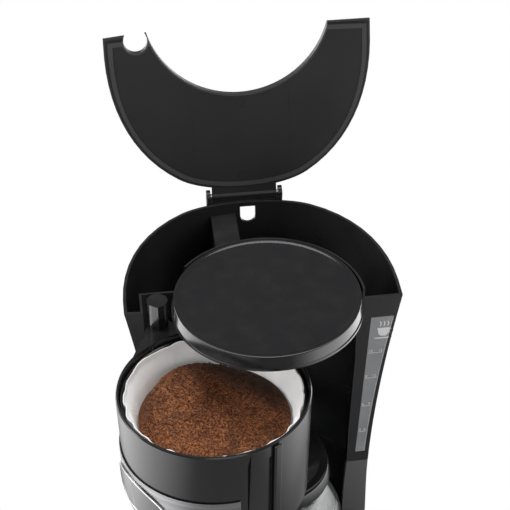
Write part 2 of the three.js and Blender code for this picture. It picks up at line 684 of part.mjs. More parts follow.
function jugHandle() {
  const y = -(JUG.neckR + 4);
  const path = new THREE.Shape();
  path.moveTo(y - 3, 158);
  path.lineTo(y - 14, 176);
  path.bezierCurveTo(y - 40, 182, y - 52, 172, y - 56, 150);
  path.bezierCurveTo(y - 58, 118, y - 50, 92, y - 38, 68);
  path.lineTo(y - 26, 66);
  path.bezierCurveTo(y - 40, 100, y - 44, 130, y - 42, 146);
  path.bezierCurveTo(y - 40, 160, y - 28, 164, y - 18, 160);
  path.lineTo(y - 4, 146);
  path.closePath();
  const g = new THREE.ExtrudeGeometry(path, { depth: 20, curveSegments: 6, bevelEnabled: false });
  const [x, up, ahead] = [[1, 0, 0], [0, 0, 1], [0, 1, 0]].map((v) => new THREE.Vector3(...v));
  g.applyMatrix4(new THREE.Matrix4().makeBasis(ahead, up, x));
  const body = solid(g.translate(-10, 0, 0));
  return cut(body, disc(JUG.neckR + 6.4, 130, 171, 0, 0, ROUND), disc(56, 171, 180, 0, 0, ROUND));
}

function jugLid() {
  const z = JUG.low + JUG.neck + 0.4;
  const r = JUG.neckR - JUG.wall - 0.4; // plug inside the neck
  const dome = [
    [0, z + 8], [4, z + 8], [4, z + 17], [8, z + 17], [9.6, z + 15], [9.6, z + 9], [16, z + 10.6],
    [34, z + 7.4], [45, z + 3], [51, z + 2.4], [51, z], [r, z], [r, z - 9], [r - 1.6, z - 9],
    [r - 1.6, z - 2], [0, z + 4],
  ];
  return turned(dome, ROUND);
}

// Assembly
const group = new THREE.Group();
group.name = "drip_coffee_maker";

function add(parent, name, shape, material) {
  const mesh = new THREE.Mesh(geometryOf(shape), material);
  mesh.name = name;
  parent.add(mesh);
  return mesh;
}

const housing = new THREE.Group();
group.add(housing);
add(housing, "upper_body", upperBody(), satinBlack);
add(housing, "lower_body", lowerBody(), satinBlack);
add(housing, "leg_panel_left", legPanel(-1), greyPlastic);
add(housing, "leg_panel_right", legPanel(1), greyPlastic);
add(housing, "water_gauge", waterGauge(), smokedClear);
add(housing, "hinge_bracket", hingeBracket(), satinBlack);
add(housing, "lid_hinge_pin", hingePin(), steel);
add(housing, "base_shell", baseShell(), satinBlack);
add(housing, "base_cover", baseCover(), satinBlack);
SCREWS.forEach((place, i) => add(housing, "base_screw_" + (i + 1), baseScrew(place), steel));
for (const [name, [x, y]] of Object.entries(FEET)) add(housing, name, foot(x, y), rubber);
add(housing, "foot_centre", foot(0, 0, 10), rubber);
add(housing, "power_switch", switchBlock(), satinBlack);
add(housing, "pilot_light", pilotLight(), lightLens);
add(housing, "hot_plate", hotPlate(), aluminium);
add(housing, "plate_seal", plateSeal(), silicone);
add(housing, "flow_heater", heater(), aluminium);
add(housing, "thermostat", thermostat(), aluminium);
add(housing, "thermal_fuse", thermalFuse(), silicone);
add(housing, "check_valve", checkValve(), silicone);
add(housing, "cold_hose", coldHose(), silicone);
add(housing, "hot_riser", hotRiser(), silicone);
add(housing, "brew_channel", brewChannel(), satinBlack);
add(housing, "shower_plate", showerPlate(), satinBlack);
add(housing, "brew_cap", brewCap(), glossBlack);
add(housing, "pivot_pin", pivotPin(), steel);
add(housing, "cord_bush", cordBush(), rubber);
add(group, "power_button", powerButton(), glossBlack);

// The holder's pieces are modelled closed and stand swung out about the pivot pin.
const holder = new THREE.Group();
holder.position.set(PIVOT.x, PIVOT.y, 0);
holder.rotation.z = deg(-SWING_OPEN);
group.add(holder);
const swung = new THREE.Group();
swung.position.set(-PIVOT.x, -PIVOT.y, 0);
holder.add(swung);
add(swung, "filter_holder", filterHolder(), satinBlack);
add(swung, "holder_band", holderBand(), steel);
add(swung, "holder_badge", holderBadge(), badgeBlack);
add(swung, "holder_grip", holderGrip(), glossBlack);
add(swung, "filter_basket", filterBasket(), satinBlack);
add(swung, "paper_filter", paperFilter(), paper);
add(swung, "coffee_grounds", coffeeGrounds(), coffee);
add(swung, "drip_valve", dripValve(), satinBlack);
add(swung, "drip_valve_spring", valveSpring(), steel);

// The lid is modelled closed and stands open about its hinge.
const lid = new THREE.Group();
lid.position.set(0, LID_HINGE.y, LID_HINGE.z);
lid.rotation.x = deg(-LID_OPEN);
group.add(lid);
const tilted = new THREE.Group();
tilted.position.set(0, -LID_HINGE.y, -LID_HINGE.z);
lid.add(tilted);
add(tilted, "tank_lid", tankLid(), satinBlack);

const jug = new THREE.Group();
group.add(jug);
add(jug, "jug_glass", jugGlass(), clearGlass);
add(jug, "jug_band", jugBand(), glossBlack);
add(jug, "jug_handle", jugHandle(), satinBlack);
add(jug, "jug_lid", jugLid(), glossBlack);

export default group;
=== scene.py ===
import math
import random

import bmesh
import bpy
from mathutils import Matrix, Vector


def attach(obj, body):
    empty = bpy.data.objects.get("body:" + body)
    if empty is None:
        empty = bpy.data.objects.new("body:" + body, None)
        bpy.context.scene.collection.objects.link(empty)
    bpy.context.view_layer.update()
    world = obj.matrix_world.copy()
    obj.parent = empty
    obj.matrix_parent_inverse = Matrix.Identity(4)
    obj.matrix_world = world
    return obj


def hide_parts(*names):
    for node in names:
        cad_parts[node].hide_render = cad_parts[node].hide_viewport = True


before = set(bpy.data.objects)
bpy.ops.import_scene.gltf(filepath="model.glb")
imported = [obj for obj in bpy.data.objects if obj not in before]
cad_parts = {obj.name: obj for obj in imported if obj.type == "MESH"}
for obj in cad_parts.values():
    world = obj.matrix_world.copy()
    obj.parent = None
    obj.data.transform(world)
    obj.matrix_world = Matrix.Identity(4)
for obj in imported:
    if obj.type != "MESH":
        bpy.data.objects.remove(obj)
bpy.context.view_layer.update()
print("frame loaded")

mm = 0.001
# The figures that several pieces share, in millimetres
body = {
    "halfTop": 114.5, "halfLow": 90.4, "front": 20, "backTop": 169, "backLow": 156, "wall": 2.5,
    "split": 132, "rim": 317, "flareFrom": 105, "flareCurve": 1.7, "bay": 79.2, "bayWall": 1.8,
    "collar": 77.4, "collarFront": 2,
    "capTop": 345, "baseTop": 40, "legFront": 26,
}
pivot = {"x": -87, "y": 27, "top": 327, "low": 180, "r": 8.5, "tip": 10, "open": 44.6}
hinge = {"y": 174, "z": 321, "r": 3.4, "half": 28.5, "open": 104}
cup = {"r": 77, "rLow": 74, "top": 303, "chamfer": 205, "low": 186, "wall": 2.4, "y": -8}


# Modelling helpers: sizes come in millimetres
def deselectAll():
    if bpy.context.object and bpy.context.object.mode != "OBJECT":
        bpy.ops.object.mode_set(mode="OBJECT")
    bpy.ops.object.select_all(action="DESELECT")


def pick(piece):
    deselectAll()
    piece.select_set(True)
    bpy.context.view_layer.objects.active = piece


def drawLine(name, points, closed=False):
    # one vertex, extruded from point to point
    deselectAll()
    bpy.ops.mesh.primitive_plane_add(size=0.001, location=(0, 0, 0))
    piece = bpy.context.object
    piece.name = name
    piece.data.name = name
    bpy.ops.object.mode_set(mode="EDIT")
    bpy.context.tool_settings.mesh_select_mode = (True, False, False)
    bpy.ops.mesh.select_all(action="SELECT")
    bpy.ops.mesh.merge(type="CENTER")
    spots = [Vector(p) * mm for p in points]
    bpy.ops.transform.translate(value=spots[0])
    if closed:
        spots.append(spots[0])
    for here, there in zip(spots, spots[1:]):
        bpy.ops.mesh.extrude_region_move(TRANSFORM_OT_translate={"value": there - here})
    bpy.ops.mesh.select_all(action="SELECT")
    if closed:
        bpy.ops.mesh.remove_doubles(threshold=1e-6)
    return piece


def closeUp():
    bpy.ops.mesh.select_all(action="SELECT")
    bpy.ops.mesh.remove_doubles(threshold=1e-6)
    bpy.ops.mesh.normals_make_consistent(inside=False)
    bpy.ops.object.mode_set(mode="OBJECT")


def turned(name, profile, sides=96, x=0, y=0):
    # a closed profile of (radius, height), spun round an upright axis
    onAxis = profile[0][0] == 0 and profile[-1][0] == 0
    piece = drawLine(name, [(x + r, y, z) for r, z in profile], closed=not onAxis)
    bpy.ops.mesh.spin(steps=sides, angle=2 * math.pi, center=(x * mm, y * mm, 0), axis=(0, 0, 1))
    closeUp()
    return piece


def pull(x, y, z):
    offset = [c * mm for c in (x, y, z)]
    bpy.ops.mesh.extrude_region_move(TRANSFORM_OT_translate={"value": offset})


def prism(name, points, offset):
    # a flat outline, filled and extruded
    piece = drawLine(name, points, closed=True)
    bpy.ops.mesh.edge_face_add()
    pull(*offset)
    closeUp()
    return piece


def raised(name, outline, z0, z1):
    return prism(name, [(x, y, z0) for x, y in outline], (0, 0, z1 - z0))


def slab(name, outline, y0, y1):
    # the outline lies in the XZ plane
    return prism(name, [(x, y0, z) for x, z in outline], (0, y1 - y0, 0))


def block(x0, x1, y0, y1, z0, z1, name="block"):
    deselectAll()
    bpy.ops.mesh.primitive_cube_add(size=mm, location=[(a + b) / 2 * mm for a,
                                                       b in ((x0, x1), (y0, y1), (z0, z1))])
    piece = bpy.context.object
    piece.name = name
    bpy.ops.object.mode_set(mode="EDIT")
    bpy.ops.transform.resize(value=(x1 - x0, y1 - y0, z1 - z0), center_override=piece.location)
    bpy.ops.object.mode_set(mode="OBJECT")
    bpy.ops.object.transform_apply()
    return piece


def drum(r, low, high, at=(0, 0), axis="Z", sides=96, name="drum"):
    # a cylinder along one axis; at holds its other two coordinates
    spot = {"X": ((low + high) / 2, at[0], at[1]), "Y": (at[0], (low + high) / 2, at[1]),
            "Z": (at[0], at[1], (low + high) / 2)}[axis]
    lean = {"X": (0, math.pi / 2, 0), "Y": (math.pi / 2, 0, 0), "Z": (0, 0, 0)}[axis]
    deselectAll()
    bpy.ops.mesh.primitive_cylinder_add(
        vertices=sides, radius=r * mm, depth=(high - low) * mm, location=[c * mm for c in spot],
        rotation=lean)
    piece = bpy.context.object
    piece.name = name
    bpy.ops.object.transform_apply()
    return piece


def boolean(piece, others, kind):
    for other in others:
        step = piece.modifiers.new("step", "BOOLEAN")
        step.operation, step.solver, step.object = kind, "EXACT", other
        pick(piece)
        bpy.ops.object.modifier_apply(modifier="step")
        bpy.data.objects.remove(other)
    return piece


def carve(piece, *cutters):
    return boolean(piece, cutters, "DIFFERENCE")


def weld(piece, *parts):
    return boolean(piece, parts, "UNION")


def keep(piece, *regions):
    return boolean(piece, regions, "INTERSECT")


def soften(piece, width, segments=2, angle=35):
    edge = piece.modifiers.new("edge", "BEVEL")
    edge.width, edge.segments, edge.limit_method, edge.angle_limit = width * mm, segments, "ANGLE", math.radians(angle)
    edge.miter_outer = "MITER_ARC"
    pick(piece)
    bpy.ops.object.modifier_apply(modifier="edge")
    return piece


def smooth(piece, angle=32):
    pick(piece)
    bpy.ops.object.shade_smooth_by_angle(angle=math.radians(angle))
    even = piece.modifiers.new("even", "WEIGHTED_NORMAL")
    even.keep_sharp = True
    bpy.ops.object.modifier_apply(modifier="even")
    return piece


def joinUp(name, parts):
    deselectAll()
    for part in parts:
        part.select_set(True)
    bpy.context.view_layer.objects.active = parts[0]
    bpy.ops.object.join()
    parts[0].name = name
    return parts[0]


def wholeMesh(piece, operator, **values):
    pick(piece)
    bpy.ops.object.mode_set(mode="EDIT")
    bpy.ops.mesh.select_all(action="SELECT")
    operator(**values)
    bpy.ops.object.mode_set(mode="OBJECT")
    return piece


def moveMesh(piece, x, y, z):
    return wholeMesh(piece, bpy.ops.transform.translate, value=[c * mm for c in (x, y, z)])


def turnMesh(piece, degrees, axis, centre):
    # with no window the operator turns the other way, so the angle goes in negated
    return wholeMesh(piece, bpy.ops.transform.rotate, value=-math.radians(degrees), orient_axis=axis,
                     center_override=[c * mm for c in centre])


def swingOut(piece):
    return turnMesh(piece, -pivot["open"], "Z", (pivot["x"], pivot["y"], 0))


def bezier(a, b, c, d, steps):
    spots = []
    for i in range(1, steps + 1):
        t = i / steps
        weights = ((1 - t) ** 3, 3 * t * (1 - t) ** 2, 3 * t * t * (1 - t), t ** 3)
        spots.append(tuple(sum(w * p[k] for w, p in zip(weights, (a, b, c, d))) for k in (0, 1)))
    return spots


def finish(piece, finishName, slotName, bodyName, *nodes):
    piece.data.materials.clear()
    piece.data.materials.append(finishes[finishName])
    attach(piece, bodyName)
    if nodes:
        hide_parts(*nodes)
    return piece


# Shared shader groups
def groupNode(name, inputs, outputs):
    group = bpy.data.node_groups.new(name, "ShaderNodeTree")
    for label, value in inputs.items():
        socket = group.interface.new_socket(name=label, in_out="INPUT", socket_type="NodeSocketFloat")
        socket.default_value = value
    for label in outputs:
        group.interface.new_socket(name=label, in_out="OUTPUT", socket_type="NodeSocketFloat")
    source = group.nodes.new("NodeGroupInput")
    sink = group.nodes.new("NodeGroupOutput")
    place = group.nodes.new("ShaderNodeTexCoord")
    return group, source.outputs, sink, place.outputs["Object"]


def feed(node, sockets):
    # each input takes a link or a value
    for name, value in sockets.items():
        socket = node.inputs[name]
        if isinstance(value, bpy.types.NodeSocket):
            node.id_data.links.new(value, socket)
        else:
            socket.default_value = value
    return node


def add(tree, kind, sockets=None, **values):
    node = tree.nodes.new("ShaderNode" + kind)
    for name, value in values.items():
        setattr(node, name, value)
    return feed(node, sockets or {})


def reckon(tree, operation, *values):
    return add(tree, "Math", dict(enumerate(values)), operation=operation).outputs[0]


def noise(tree, place, scale, detail):
    return add(tree, "TexNoise", {"Vector": place, "Scale": scale, "Detail": detail}).outputs["Fac"]


def ranged(tree, value, low, high, fromLow=0.3, fromHigh=0.7):
    limits = {"From Min": fromLow, "From Max": fromHigh, "To Min": low, "To Max": high}
    return add(tree, "MapRange", {"Value": value, **limits}).outputs["Result"]


def buildGrain():
    # the spark-eroded grain of a moulding, with its slow drift in gloss
    group, source, sink, place = groupNode("mouldedGrain", {"Scale": 1400.0}, ("Height", "Drift Mask"))
    pits = add(group, "TexVoronoi", {"Vector": place, "Scale": source["Scale"]}, feature="SMOOTH_F1")
    fine = noise(group, place, source["Scale"], 2.0)
    feed(sink, {"Height": reckon(group, "ADD", fine, pits.outputs["Distance"]),
                "Drift Mask": noise(group, place, 18.0, 3.0)})
    return group


def buildDust():
    # fine dust that settles on faces that look up
    group, source, sink, place = groupNode("settledDust", {"Amount": 0.25}, ("Mask",))
    face = add(group, "NewGeometry")
    up = add(group, "SeparateXYZ", {"Vector": face.outputs["Normal"]})
    lying = ranged(group, up.outputs["Z"], 0, 1, 0.5, 1.0)
    spotty = ranged(group, noise(group, place, 60.0, 6.0), 0, 1, 0.45, 0.75)
    feed(sink, {"Mask": reckon(group, "MULTIPLY", reckon(group, "MULTIPLY", lying, spotty),
                               source["Amount"])})
    return group


def buildBrushed():
    # hair lines that run level round a metal face
    group, source, sink, place = groupNode("brushedLines", {"Lines": 2600.0}, ("Height", "Mask"))
    stretched = add(group, "Mapping", {"Vector": place, "Scale": (0.012, 0.012, 1.0)}).outputs[0]
    feed(sink, {"Height": noise(group, stretched, source["Lines"], 2.0),
                "Mask": noise(group, stretched, 300.0, 1.0)})
    return group


def buildWeave():
    # crossed crepe lines of filter paper, over cloudy fibres
    group, source, sink, place = groupNode("filterCrepe", {"Pitch": 420.0, "Fibre": 900.0},
                                           ("Height", "Cloud"))
    crossed = []
    for turn in (0.7, -0.7):
        leaning = add(group, "Mapping", {"Vector": place, "Rotation": (turn, turn * 0.6, 0.3)})
        wave = {"Vector": leaning.outputs[0], "Scale": source["Pitch"], "Distortion": 1.5, "Detail": 1.0}
        crossed.append(add(group, "TexWave", wave).outputs["Fac"])
    fibre = noise(group, place, source["Fibre"], 4.0)
    feed(sink, {"Height": reckon(group, "ADD", reckon(group, "ADD", *crossed), fibre),
                "Cloud": noise(group, place, 55.0, 4.0)})
    return group


grainGroup, dustGroup, brushedGroup, weaveGroup = buildGrain(), buildDust(), buildBrushed(), buildWeave()


# Materials
def newMaterial(name, **sockets):
    material = bpy.data.materials.new(name)
    material.use_nodes = True
    tree = material.node_tree
    shader = tree.nodes["Principled BSDF"]
    for label, value in sockets.items():
        shader.inputs[label.replace("_", " ")].default_value = value
    return material, tree, shader


def blend(tree, mask, first, second):
    first, second = (c if isinstance(c, bpy.types.NodeSocket) else (*c, 1) for c in (first, second))
    return add(tree, "Mix", {"Factor": mask, "A": first, "B": second}, data_type="RGBA").outputs["Result"]


def relief(shader, height, strength, distance):
    bump = add(shader.id_data, "Bump", {"Height": height, "Strength": strength, "Distance": distance})
    feed(shader, {"Normal": bump.outputs["Normal"]})


def objectPlace(tree):
    return add(tree, "TexCoord").outputs["Object"]


dustColour = (0.42, 0.41, 0.39)


def mouldedPlastic(name, dark, light, rough, grain=1400.0, depth=0.15, dust=0.02, **extra):
    material, tree, shader = newMaterial(name, Specular_IOR_Level=0.35, **extra)
    surface = add(tree, "Group", node_tree=grainGroup)
    feed(surface, {"Scale": grain})
    lying = add(tree, "Group", node_tree=dustGroup)
    feed(lying, {"Amount": dust})
    drift = surface.outputs["Drift Mask"]
    base = blend(tree, ranged(tree, drift, 0, 1), dark, light)
    feed(shader, {"Base Color": blend(tree, lying.outputs["Mask"], base, dustColour),
                  "Roughness": ranged(tree, drift, *rough)})
    relief(shader, surface.outputs["Height"], depth, 0.00002)
    return material


def brushedMetal(name, dark, light, rough, lines=2600.0):
    material, tree, shader = newMaterial(name, Metallic=1.0)
    hair = add(tree, "Group", node_tree=brushedGroup)
    feed(hair, {"Lines": lines})
    feed(shader, {"Base Color": blend(tree, ranged(tree, hair.outputs["Mask"], 0, 1), dark, light),
                  "Roughness": ranged(tree, hair.outputs["Height"], *rough)})
    relief(shader, hair.outputs["Height"], 0.2, 0.00002)
    return material


def filterPaper():
    # the paper gives off a faint glow in its own tint: painted light, standing in for light passing through the paper
    material, tree, shader = newMaterial("filterPaper", Roughness=0.92, Specular_IOR_Level=0.25,
                                         Emission_Strength=0.1)
    crepe = add(tree, "Group", node_tree=weaveGroup)
    tint = blend(tree, ranged(tree, crepe.outputs["Cloud"], 0, 1), (0.84, 0.84, 0.83), (0.93, 0.93, 0.92))
    feed(shader, {"Base Color": tint, "Emission Color": tint})
    relief(shader, crepe.outputs["Height"], 0.45, 0.00022)
    return material


# the last two entries, the rear colour and its range, paint shade onto the mound's rear
coffeeLook = {"fine": 1000.0, "colours": ((0.032, 0.010, 0.005, 1), (0.14, 0.045, 0.015, 1),
                                          (0.33, 0.12, 0.04, 1)),
              "patch": (0.03, 0.011, 0.006), "rear": (0.022, 0.010, 0.006), "rearFrom": (0.022, 0.042)}


def groundCoffee():
    material, tree, shader = newMaterial("groundCoffee", Roughness=0.85, Specular_IOR_Level=0.3)
    place = objectPlace(tree)
    grains = add(tree, "TexVoronoi", {"Vector": place, "Scale": coffeeLook["fine"]})
    shade = add(tree, "SeparateColor", {"Color": grains.outputs["Color"]})
    ramp = add(tree, "ValToRGB", {"Fac": shade.outputs["Red"]})
    steps = ramp.color_ramp.elements
    first, middle, last = coffeeLook["colours"]
    steps[0].color, steps[1].color = first, last
    steps.new(0.5).color = middle
    patch = ranged(tree, noise(tree, place, 65.0, 4.0), 0, 0.55, 0.5, 0.72)
    dark = blend(tree, patch, ramp.outputs["Color"], coffeeLook["patch"])
    # painted shade: the colour darkens towards the mound's rear, where shade falls on it with the holder swung out
    spot = add(tree, "SeparateXYZ", {"Vector": place})
    across = reckon(tree, "MULTIPLY_ADD", spot.outputs["X"], 0.5, 0.0248)
    along = reckon(tree, "MULTIPLY_ADD", spot.outputs["Y"], 0.87, 0.0513)
    rear = ranged(tree, reckon(tree, "ADD", across, along), 0, 0.85, *coffeeLook["rearFrom"])
    feed(shader, {"Base Color": blend(tree, rear, dark, coffeeLook["rear"])})
    relief(shader, grains.outputs["Distance"], 0.8, 0.0005)
    return material


def clearPane(name, tint, rough, ior):
    material, tree, shader = newMaterial(name, IOR=ior, Transmission_Weight=1.0)
    haze = noise(tree, objectPlace(tree), 25.0, 3.0)
    feed(shader, {"Base Color": (*tint, 1), "Roughness": ranged(tree, haze, *rough)})
    relief(shader, haze, 0.05, 0.0005)
    return material


finishes = {
    "bodySatin": mouldedPlastic("bodySatin", (0.010, 0.010, 0.011), (0.016, 0.016, 0.017), (0.26, 0.34)),
    "lidSatin": mouldedPlastic("lidSatin", (0.013, 0.013, 0.014), (0.016, 0.016, 0.017), (0.38, 0.44)),
    # a lighter copy of the lid plastic for the lid's border faces: painted light, standing in for light catching them
    "lidBorderPaintedLight": mouldedPlastic("lidBorderPaintedLight", (0.042, 0.042, 0.043), (0.05, 0.05, 0.051), (0.34, 0.4)),
    "capGloss": mouldedPlastic("capGloss", (0.009, 0.009, 0.010), (0.011, 0.011, 0.012), (0.12, 0.15),
                               grain=2200.0,
                               depth=0.04, dust=0.01),
    "holderSatin": mouldedPlastic("holderSatin", (0.010, 0.010, 0.011), (0.013, 0.013, 0.014), (0.17, 0.22),
                                  depth=0.07),
    "legSatin": mouldedPlastic("legSatin", (0.085, 0.085, 0.088), (0.115, 0.115, 0.118), (0.34, 0.42)),
    "badgeGloss": mouldedPlastic("badgeGloss", (0.006, 0.006, 0.006), (0.01, 0.01, 0.01), (0.1, 0.16),
                                 depth=0.03, dust=0.0, Coat_Weight=0.5),
    "badgeRim": brushedMetal("badgeRim", (0.5, 0.5, 0.51), (0.68, 0.68, 0.69), (0.25, 0.4)),
    "bandMetal": brushedMetal("bandMetal", (0.2, 0.2, 0.205), (0.29, 0.29, 0.295), (0.26, 0.38)),
    "steel": brushedMetal("steel", (0.5, 0.5, 0.5), (0.62, 0.62, 0.62), (0.28, 0.4), lines=1800.0),
    "aluminium": brushedMetal("aluminium", (0.5, 0.5, 0.51), (0.63, 0.63, 0.64), (0.4, 0.55), lines=900.0),
    "plateCoating": mouldedPlastic("plateCoating", (0.016, 0.016, 0.017), (0.026, 0.026, 0.028),
                                   (0.45, 0.55), grain=2600.0, depth=0.3, dust=0.02),
    "rubber": mouldedPlastic("rubber", (0.018, 0.018, 0.018), (0.028, 0.028, 0.028), (0.72, 0.85),
                             grain=1800.0, depth=0.3),
    "silicone": mouldedPlastic("silicone", (0.55, 0.53, 0.49), (0.66, 0.64, 0.6), (0.5, 0.6), grain=700.0,
                               dust=0.02),
    "gaugeSmoke": mouldedPlastic("gaugeSmoke", (0.21, 0.215, 0.22), (0.29, 0.295, 0.3), (0.16, 0.24),
                                 grain=500.0, depth=0.05, dust=0.0, Coat_Weight=0.4),
    "gaugeInk": mouldedPlastic("gaugeInk", (0.6, 0.6, 0.6), (0.72, 0.72, 0.72), (0.5, 0.6), dust=0.0),
    "pilotLens": mouldedPlastic("pilotLens", (0.55, 0.16, 0.03), (0.7, 0.24, 0.05), (0.12, 0.2), depth=0.03,
                                dust=0.0, Coat_Weight=0.5),
    "filterPaper": filterPaper(),
    "groundCoffee": groundCoffee(),
    "jugGlass": clearPane("jugGlass", (0.97, 0.99, 0.985), (0.0, 0.02), 1.46),
}
print("materials made")


# Body and water tank
def flareAt(z):
    share = min(1, max(0, (z - body["flareFrom"]) / (body["rim"] - body["flareFrom"])))
    return share ** body["flareCurve"]


def halfAt(z):
    return body["halfLow"] + (body["halfTop"] - body["halfLow"]) * flareAt(z)


def bodyOutline(half, back, inset=0, steps=9):
    # flat front, straight cheeks and a rounded back
    sx = (half - inset) / body["halfTop"]
    front = body["front"] + inset
    sy = (back - inset - front) / (body["backTop"] - body["front"])
    cheek = [(114.5, 42)] + bezier((114.5, 42), (113.5, 92), (94, 134), (57, 157), steps)
    cheek += bezier((57, 157), (44, 165), (24, 169), (0, 169), steps)
    left = [(-x, y) for x, y in [(60, 20), (114.5, 25)] + cheek[:-1]]
    whole = [(60, 20), (114.5, 21.5)] + cheek + left[::-1]
    return [(x * sx, front + (y - body["front"]) * sy) for x, y in whole]


def flared(name, inset, z0, z1, steps=16):
    # extruded up ring by ring, each one widened about the flat front
    def factors(z):
        back = body["backLow"] + (body["backTop"] - body["backLow"]) * flareAt(z)
        front = body["front"] + inset
        return halfAt(z) - inset, back - inset - front
    back0 = factors(z0)[1] + inset + body["front"] + inset
    piece = drawLine(name, [(x, y, z0) for x, y in bodyOutline(halfAt(z0), back0, inset)], closed=True)
    bpy.ops.mesh.edge_face_add()
    for i in range(steps):
        here, there = (z0 + (z1 - z0) * k / steps for k in (i, i + 1))
        a, b = factors(here), factors(there)
        pull(0, 0, there - here)
        bpy.ops.transform.resize(value=(b[0] / a[0], b[1] / a[1], 1),
                                 center_override=(0, (body["front"] + inset) * mm, there * mm))
    closeUp()
    return piece


jambLine = [(77.6, 275), (74.6, 212), (72.6, 168), (72, 132), (69.8, 101), (68.4, 50), (68.2, 30)]


def bayCutter(r, z0, z1, sides=128):
    side = math.sqrt(r * r - 25 ** 2)
    return weld(drum(r, z0, z1, sides=sides, name="bay"), block(-side, side, -130, 25, z0, z1))


def openBay(z0, z1, leftTop):
    # the bay with a lip left standing down the inside of each leg
    cutter = bayCutter(body["bay"], z0, z1)
    for side in (1, -1):
        top = z1 if side > 0 else max(z0 + 1, min(z1, leftTop))
        lip = slab("lip", [(x * side, z) for x, z in jambLine + [(85, 30), (85, 275)]], body["front"], 27.5)
        keep(lip, block(-90, 90, 0, 40, z0, top))
        carve(cutter, lip)
    return cutter


gaugeStrip = {"z0": 142, "z1": 295.5, "left0": 79.2, "left1": 88.6, "edge0": 3.2, "edge1": 1.6, "deep": 26.5,
              "sink": 0.5, "thick": 2.6}


def gaugeSides(z):
    share = (z - gaugeStrip["z0"]) / (gaugeStrip["z1"] - gaugeStrip["z0"])
    edge = gaugeStrip["edge0"] + (gaugeStrip["edge1"] - gaugeStrip["edge0"]) * share
    return gaugeStrip["left0"] + (gaugeStrip["left1"] - gaugeStrip["left0"]) * share, halfAt(z) - edge


def gaugeCutter(shrink, name="gaugeCutter"):
    z0, z1 = gaugeStrip["z0"] + shrink, gaugeStrip["z1"] - shrink
    levels = [z0 + (z1 - z0) * i / 10 for i in range(11)]
    outline = [(gaugeSides(z0)[0] + shrink, z0)] + [(gaugeSides(z)[1] - shrink, z) for z in levels]
    return slab(name, outline + [(gaugeSides(z1)[0] + shrink, z1)], 16, gaugeStrip["deep"] - shrink)


tank = {"floor": 135, "pocket": (-99, -60, 48), "riser": (311, 4.6), "edge": 0.45,
        "overflow": (2.1, 303.7, 6.7, 313), "duct": (-31, -9, 112, 146, 307)}


def makeUpperBody():
    rim, split, wall = body["rim"], body["split"], body["wall"]
    piece = flared("upperBody", 0, split, rim)
    hollow = flared("hollow", wall, tank["floor"], rim + 1)
    x0, x1, y1 = tank["pocket"]
    ox, oz, r, top = tank["overflow"]
    dx0, dx1, dy0, dy1, high = tank["duct"]
    carve(hollow, bayCutter(body["bay"] + body["bayWall"], split, rim + 2),
          block(x0 - 2, x1, 0, y1 + 2, pivot["low"] - 5, rim + 2), block(dx0, dx1, dy0, 180, split, high))
    carve(piece, hollow)
    collarOut = body["collar"] + body["bayWall"]
    collar = turned("collar", [(body["collar"] - 0.2, rim - 8), (body["bay"] + 1, rim - 8),
                               (body["bay"] + 1, rim - 4),
                               (collarOut, rim - 3.2), (collarOut, body["capTop"] - 2),
                               (body["collar"] - 0.2, body["capTop"] - 2)], 128)
    ledge = turned("ledge", [(collarOut, rim - 9), (collarOut + 5, rim - 9), (collarOut + 5, rim - 3),
                             (collarOut, rim - 3)], 128)
    carve(collar, block(-90, 1, -90, 18, 300, 350), block(0, 90, -90, body["collarFront"], 300, 350),
          keep(ledge, block(0, 90, -90, 18, 300, 350)))
    weld(piece, collar)
    carve(piece, openBay(split - 1, rim - 6, pivot["low"]), drum(body["collar"], rim - 7, 346, sides=128),
          block(x0, x1, 0, y1, pivot["low"], 346), gaugeCutter(0),
          block(dx0 + wall, dx1 - wall, dy0 + wall, dy1, split - 1, high - wall),
          drum(tank["riser"][1], 70, 90, (0, tank["riser"][0]), "Y", 32),
          drum(5.6, split - 1, split + 5, (0, 120), sides=32),
          drum(5, split - 1, split + 5, (0, 92), sides=32))
    soften(piece, tank["edge"])
    arc = [math.pi * i / 16 for i in range(17)]
    edge = [(ox - r * math.cos(a), oz - r * math.sin(a)) for a in arc]
    carve(piece, slab("overflow", [(ox - r, top)] + edge + [(ox + r, top)], 145, 185))
    return finish(smooth(piece), "bodySatin", "black_satin", "housing", "upper_body")


def makeLowerBody():
    z0, z1 = body["baseTop"] + 0.3, body["split"] - 0.3
    piece = flared("lowerBody", 0, z0, z1, 6)
    hollow = flared("hollow", body["wall"], z0 - 1, z1 + 1, 6)
    carve(hollow, bayCutter(body["bay"] + body["bayWall"], z0 - 2, z1 + 2),
          block(-95, 95, 0, body["legFront"] + body["wall"], z0 - 2, z1 + 2))
    carve(piece, hollow, openBay(z0 - 2, z1 + 2, z1 + 2),
          block(-95, 95, 0, body["legFront"] + 0.3, z0 - 1, z1 + 1))
    smooth(soften(piece, 0.4))
    return finish(piece, "bodySatin", "black_satin", "housing", "lower_body")


def makeLegPanel(side):
    label = "left" if side < 0 else "right"
    piece = flared("legPanel" + label.title(), 0, body["baseTop"] + 0.3, body["split"] - 0.3, 6)
    carve(piece, openBay(30, 160, 160))
    x0 = 60 if side > 0 else -95
    keep(piece, block(x0, x0 + 35, 0, body["legFront"], 30, 160))
    smooth(soften(piece, 0.5))
    return finish(piece, "legSatin", "grey_satin", "housing", "leg_panel_" + label)


def gaugeFace(x, z, inset):
    # the depth of the slanted front panel at one place
    front = body["front"] + inset
    sx = (halfAt(z) - inset) / body["halfTop"]
    slope = 1.5 / 54.5
    back = body["backLow"] + (body["backTop"] - body["backLow"]) * flareAt(z)
    sy = (back - inset - front) / (body["backTop"] - body["front"])
    return front + (abs(x) / sx - 60) * slope * sy


marks = {"levels": (166, 196, 228, 256), "left": ("4", "6", "8", "10"), "right": ("6", "9", "12", "15"),
         "size": 3.9, "line": 0.45, "lift": 2.4, "cupAt": (99.8, 283), "grow": 1.6}


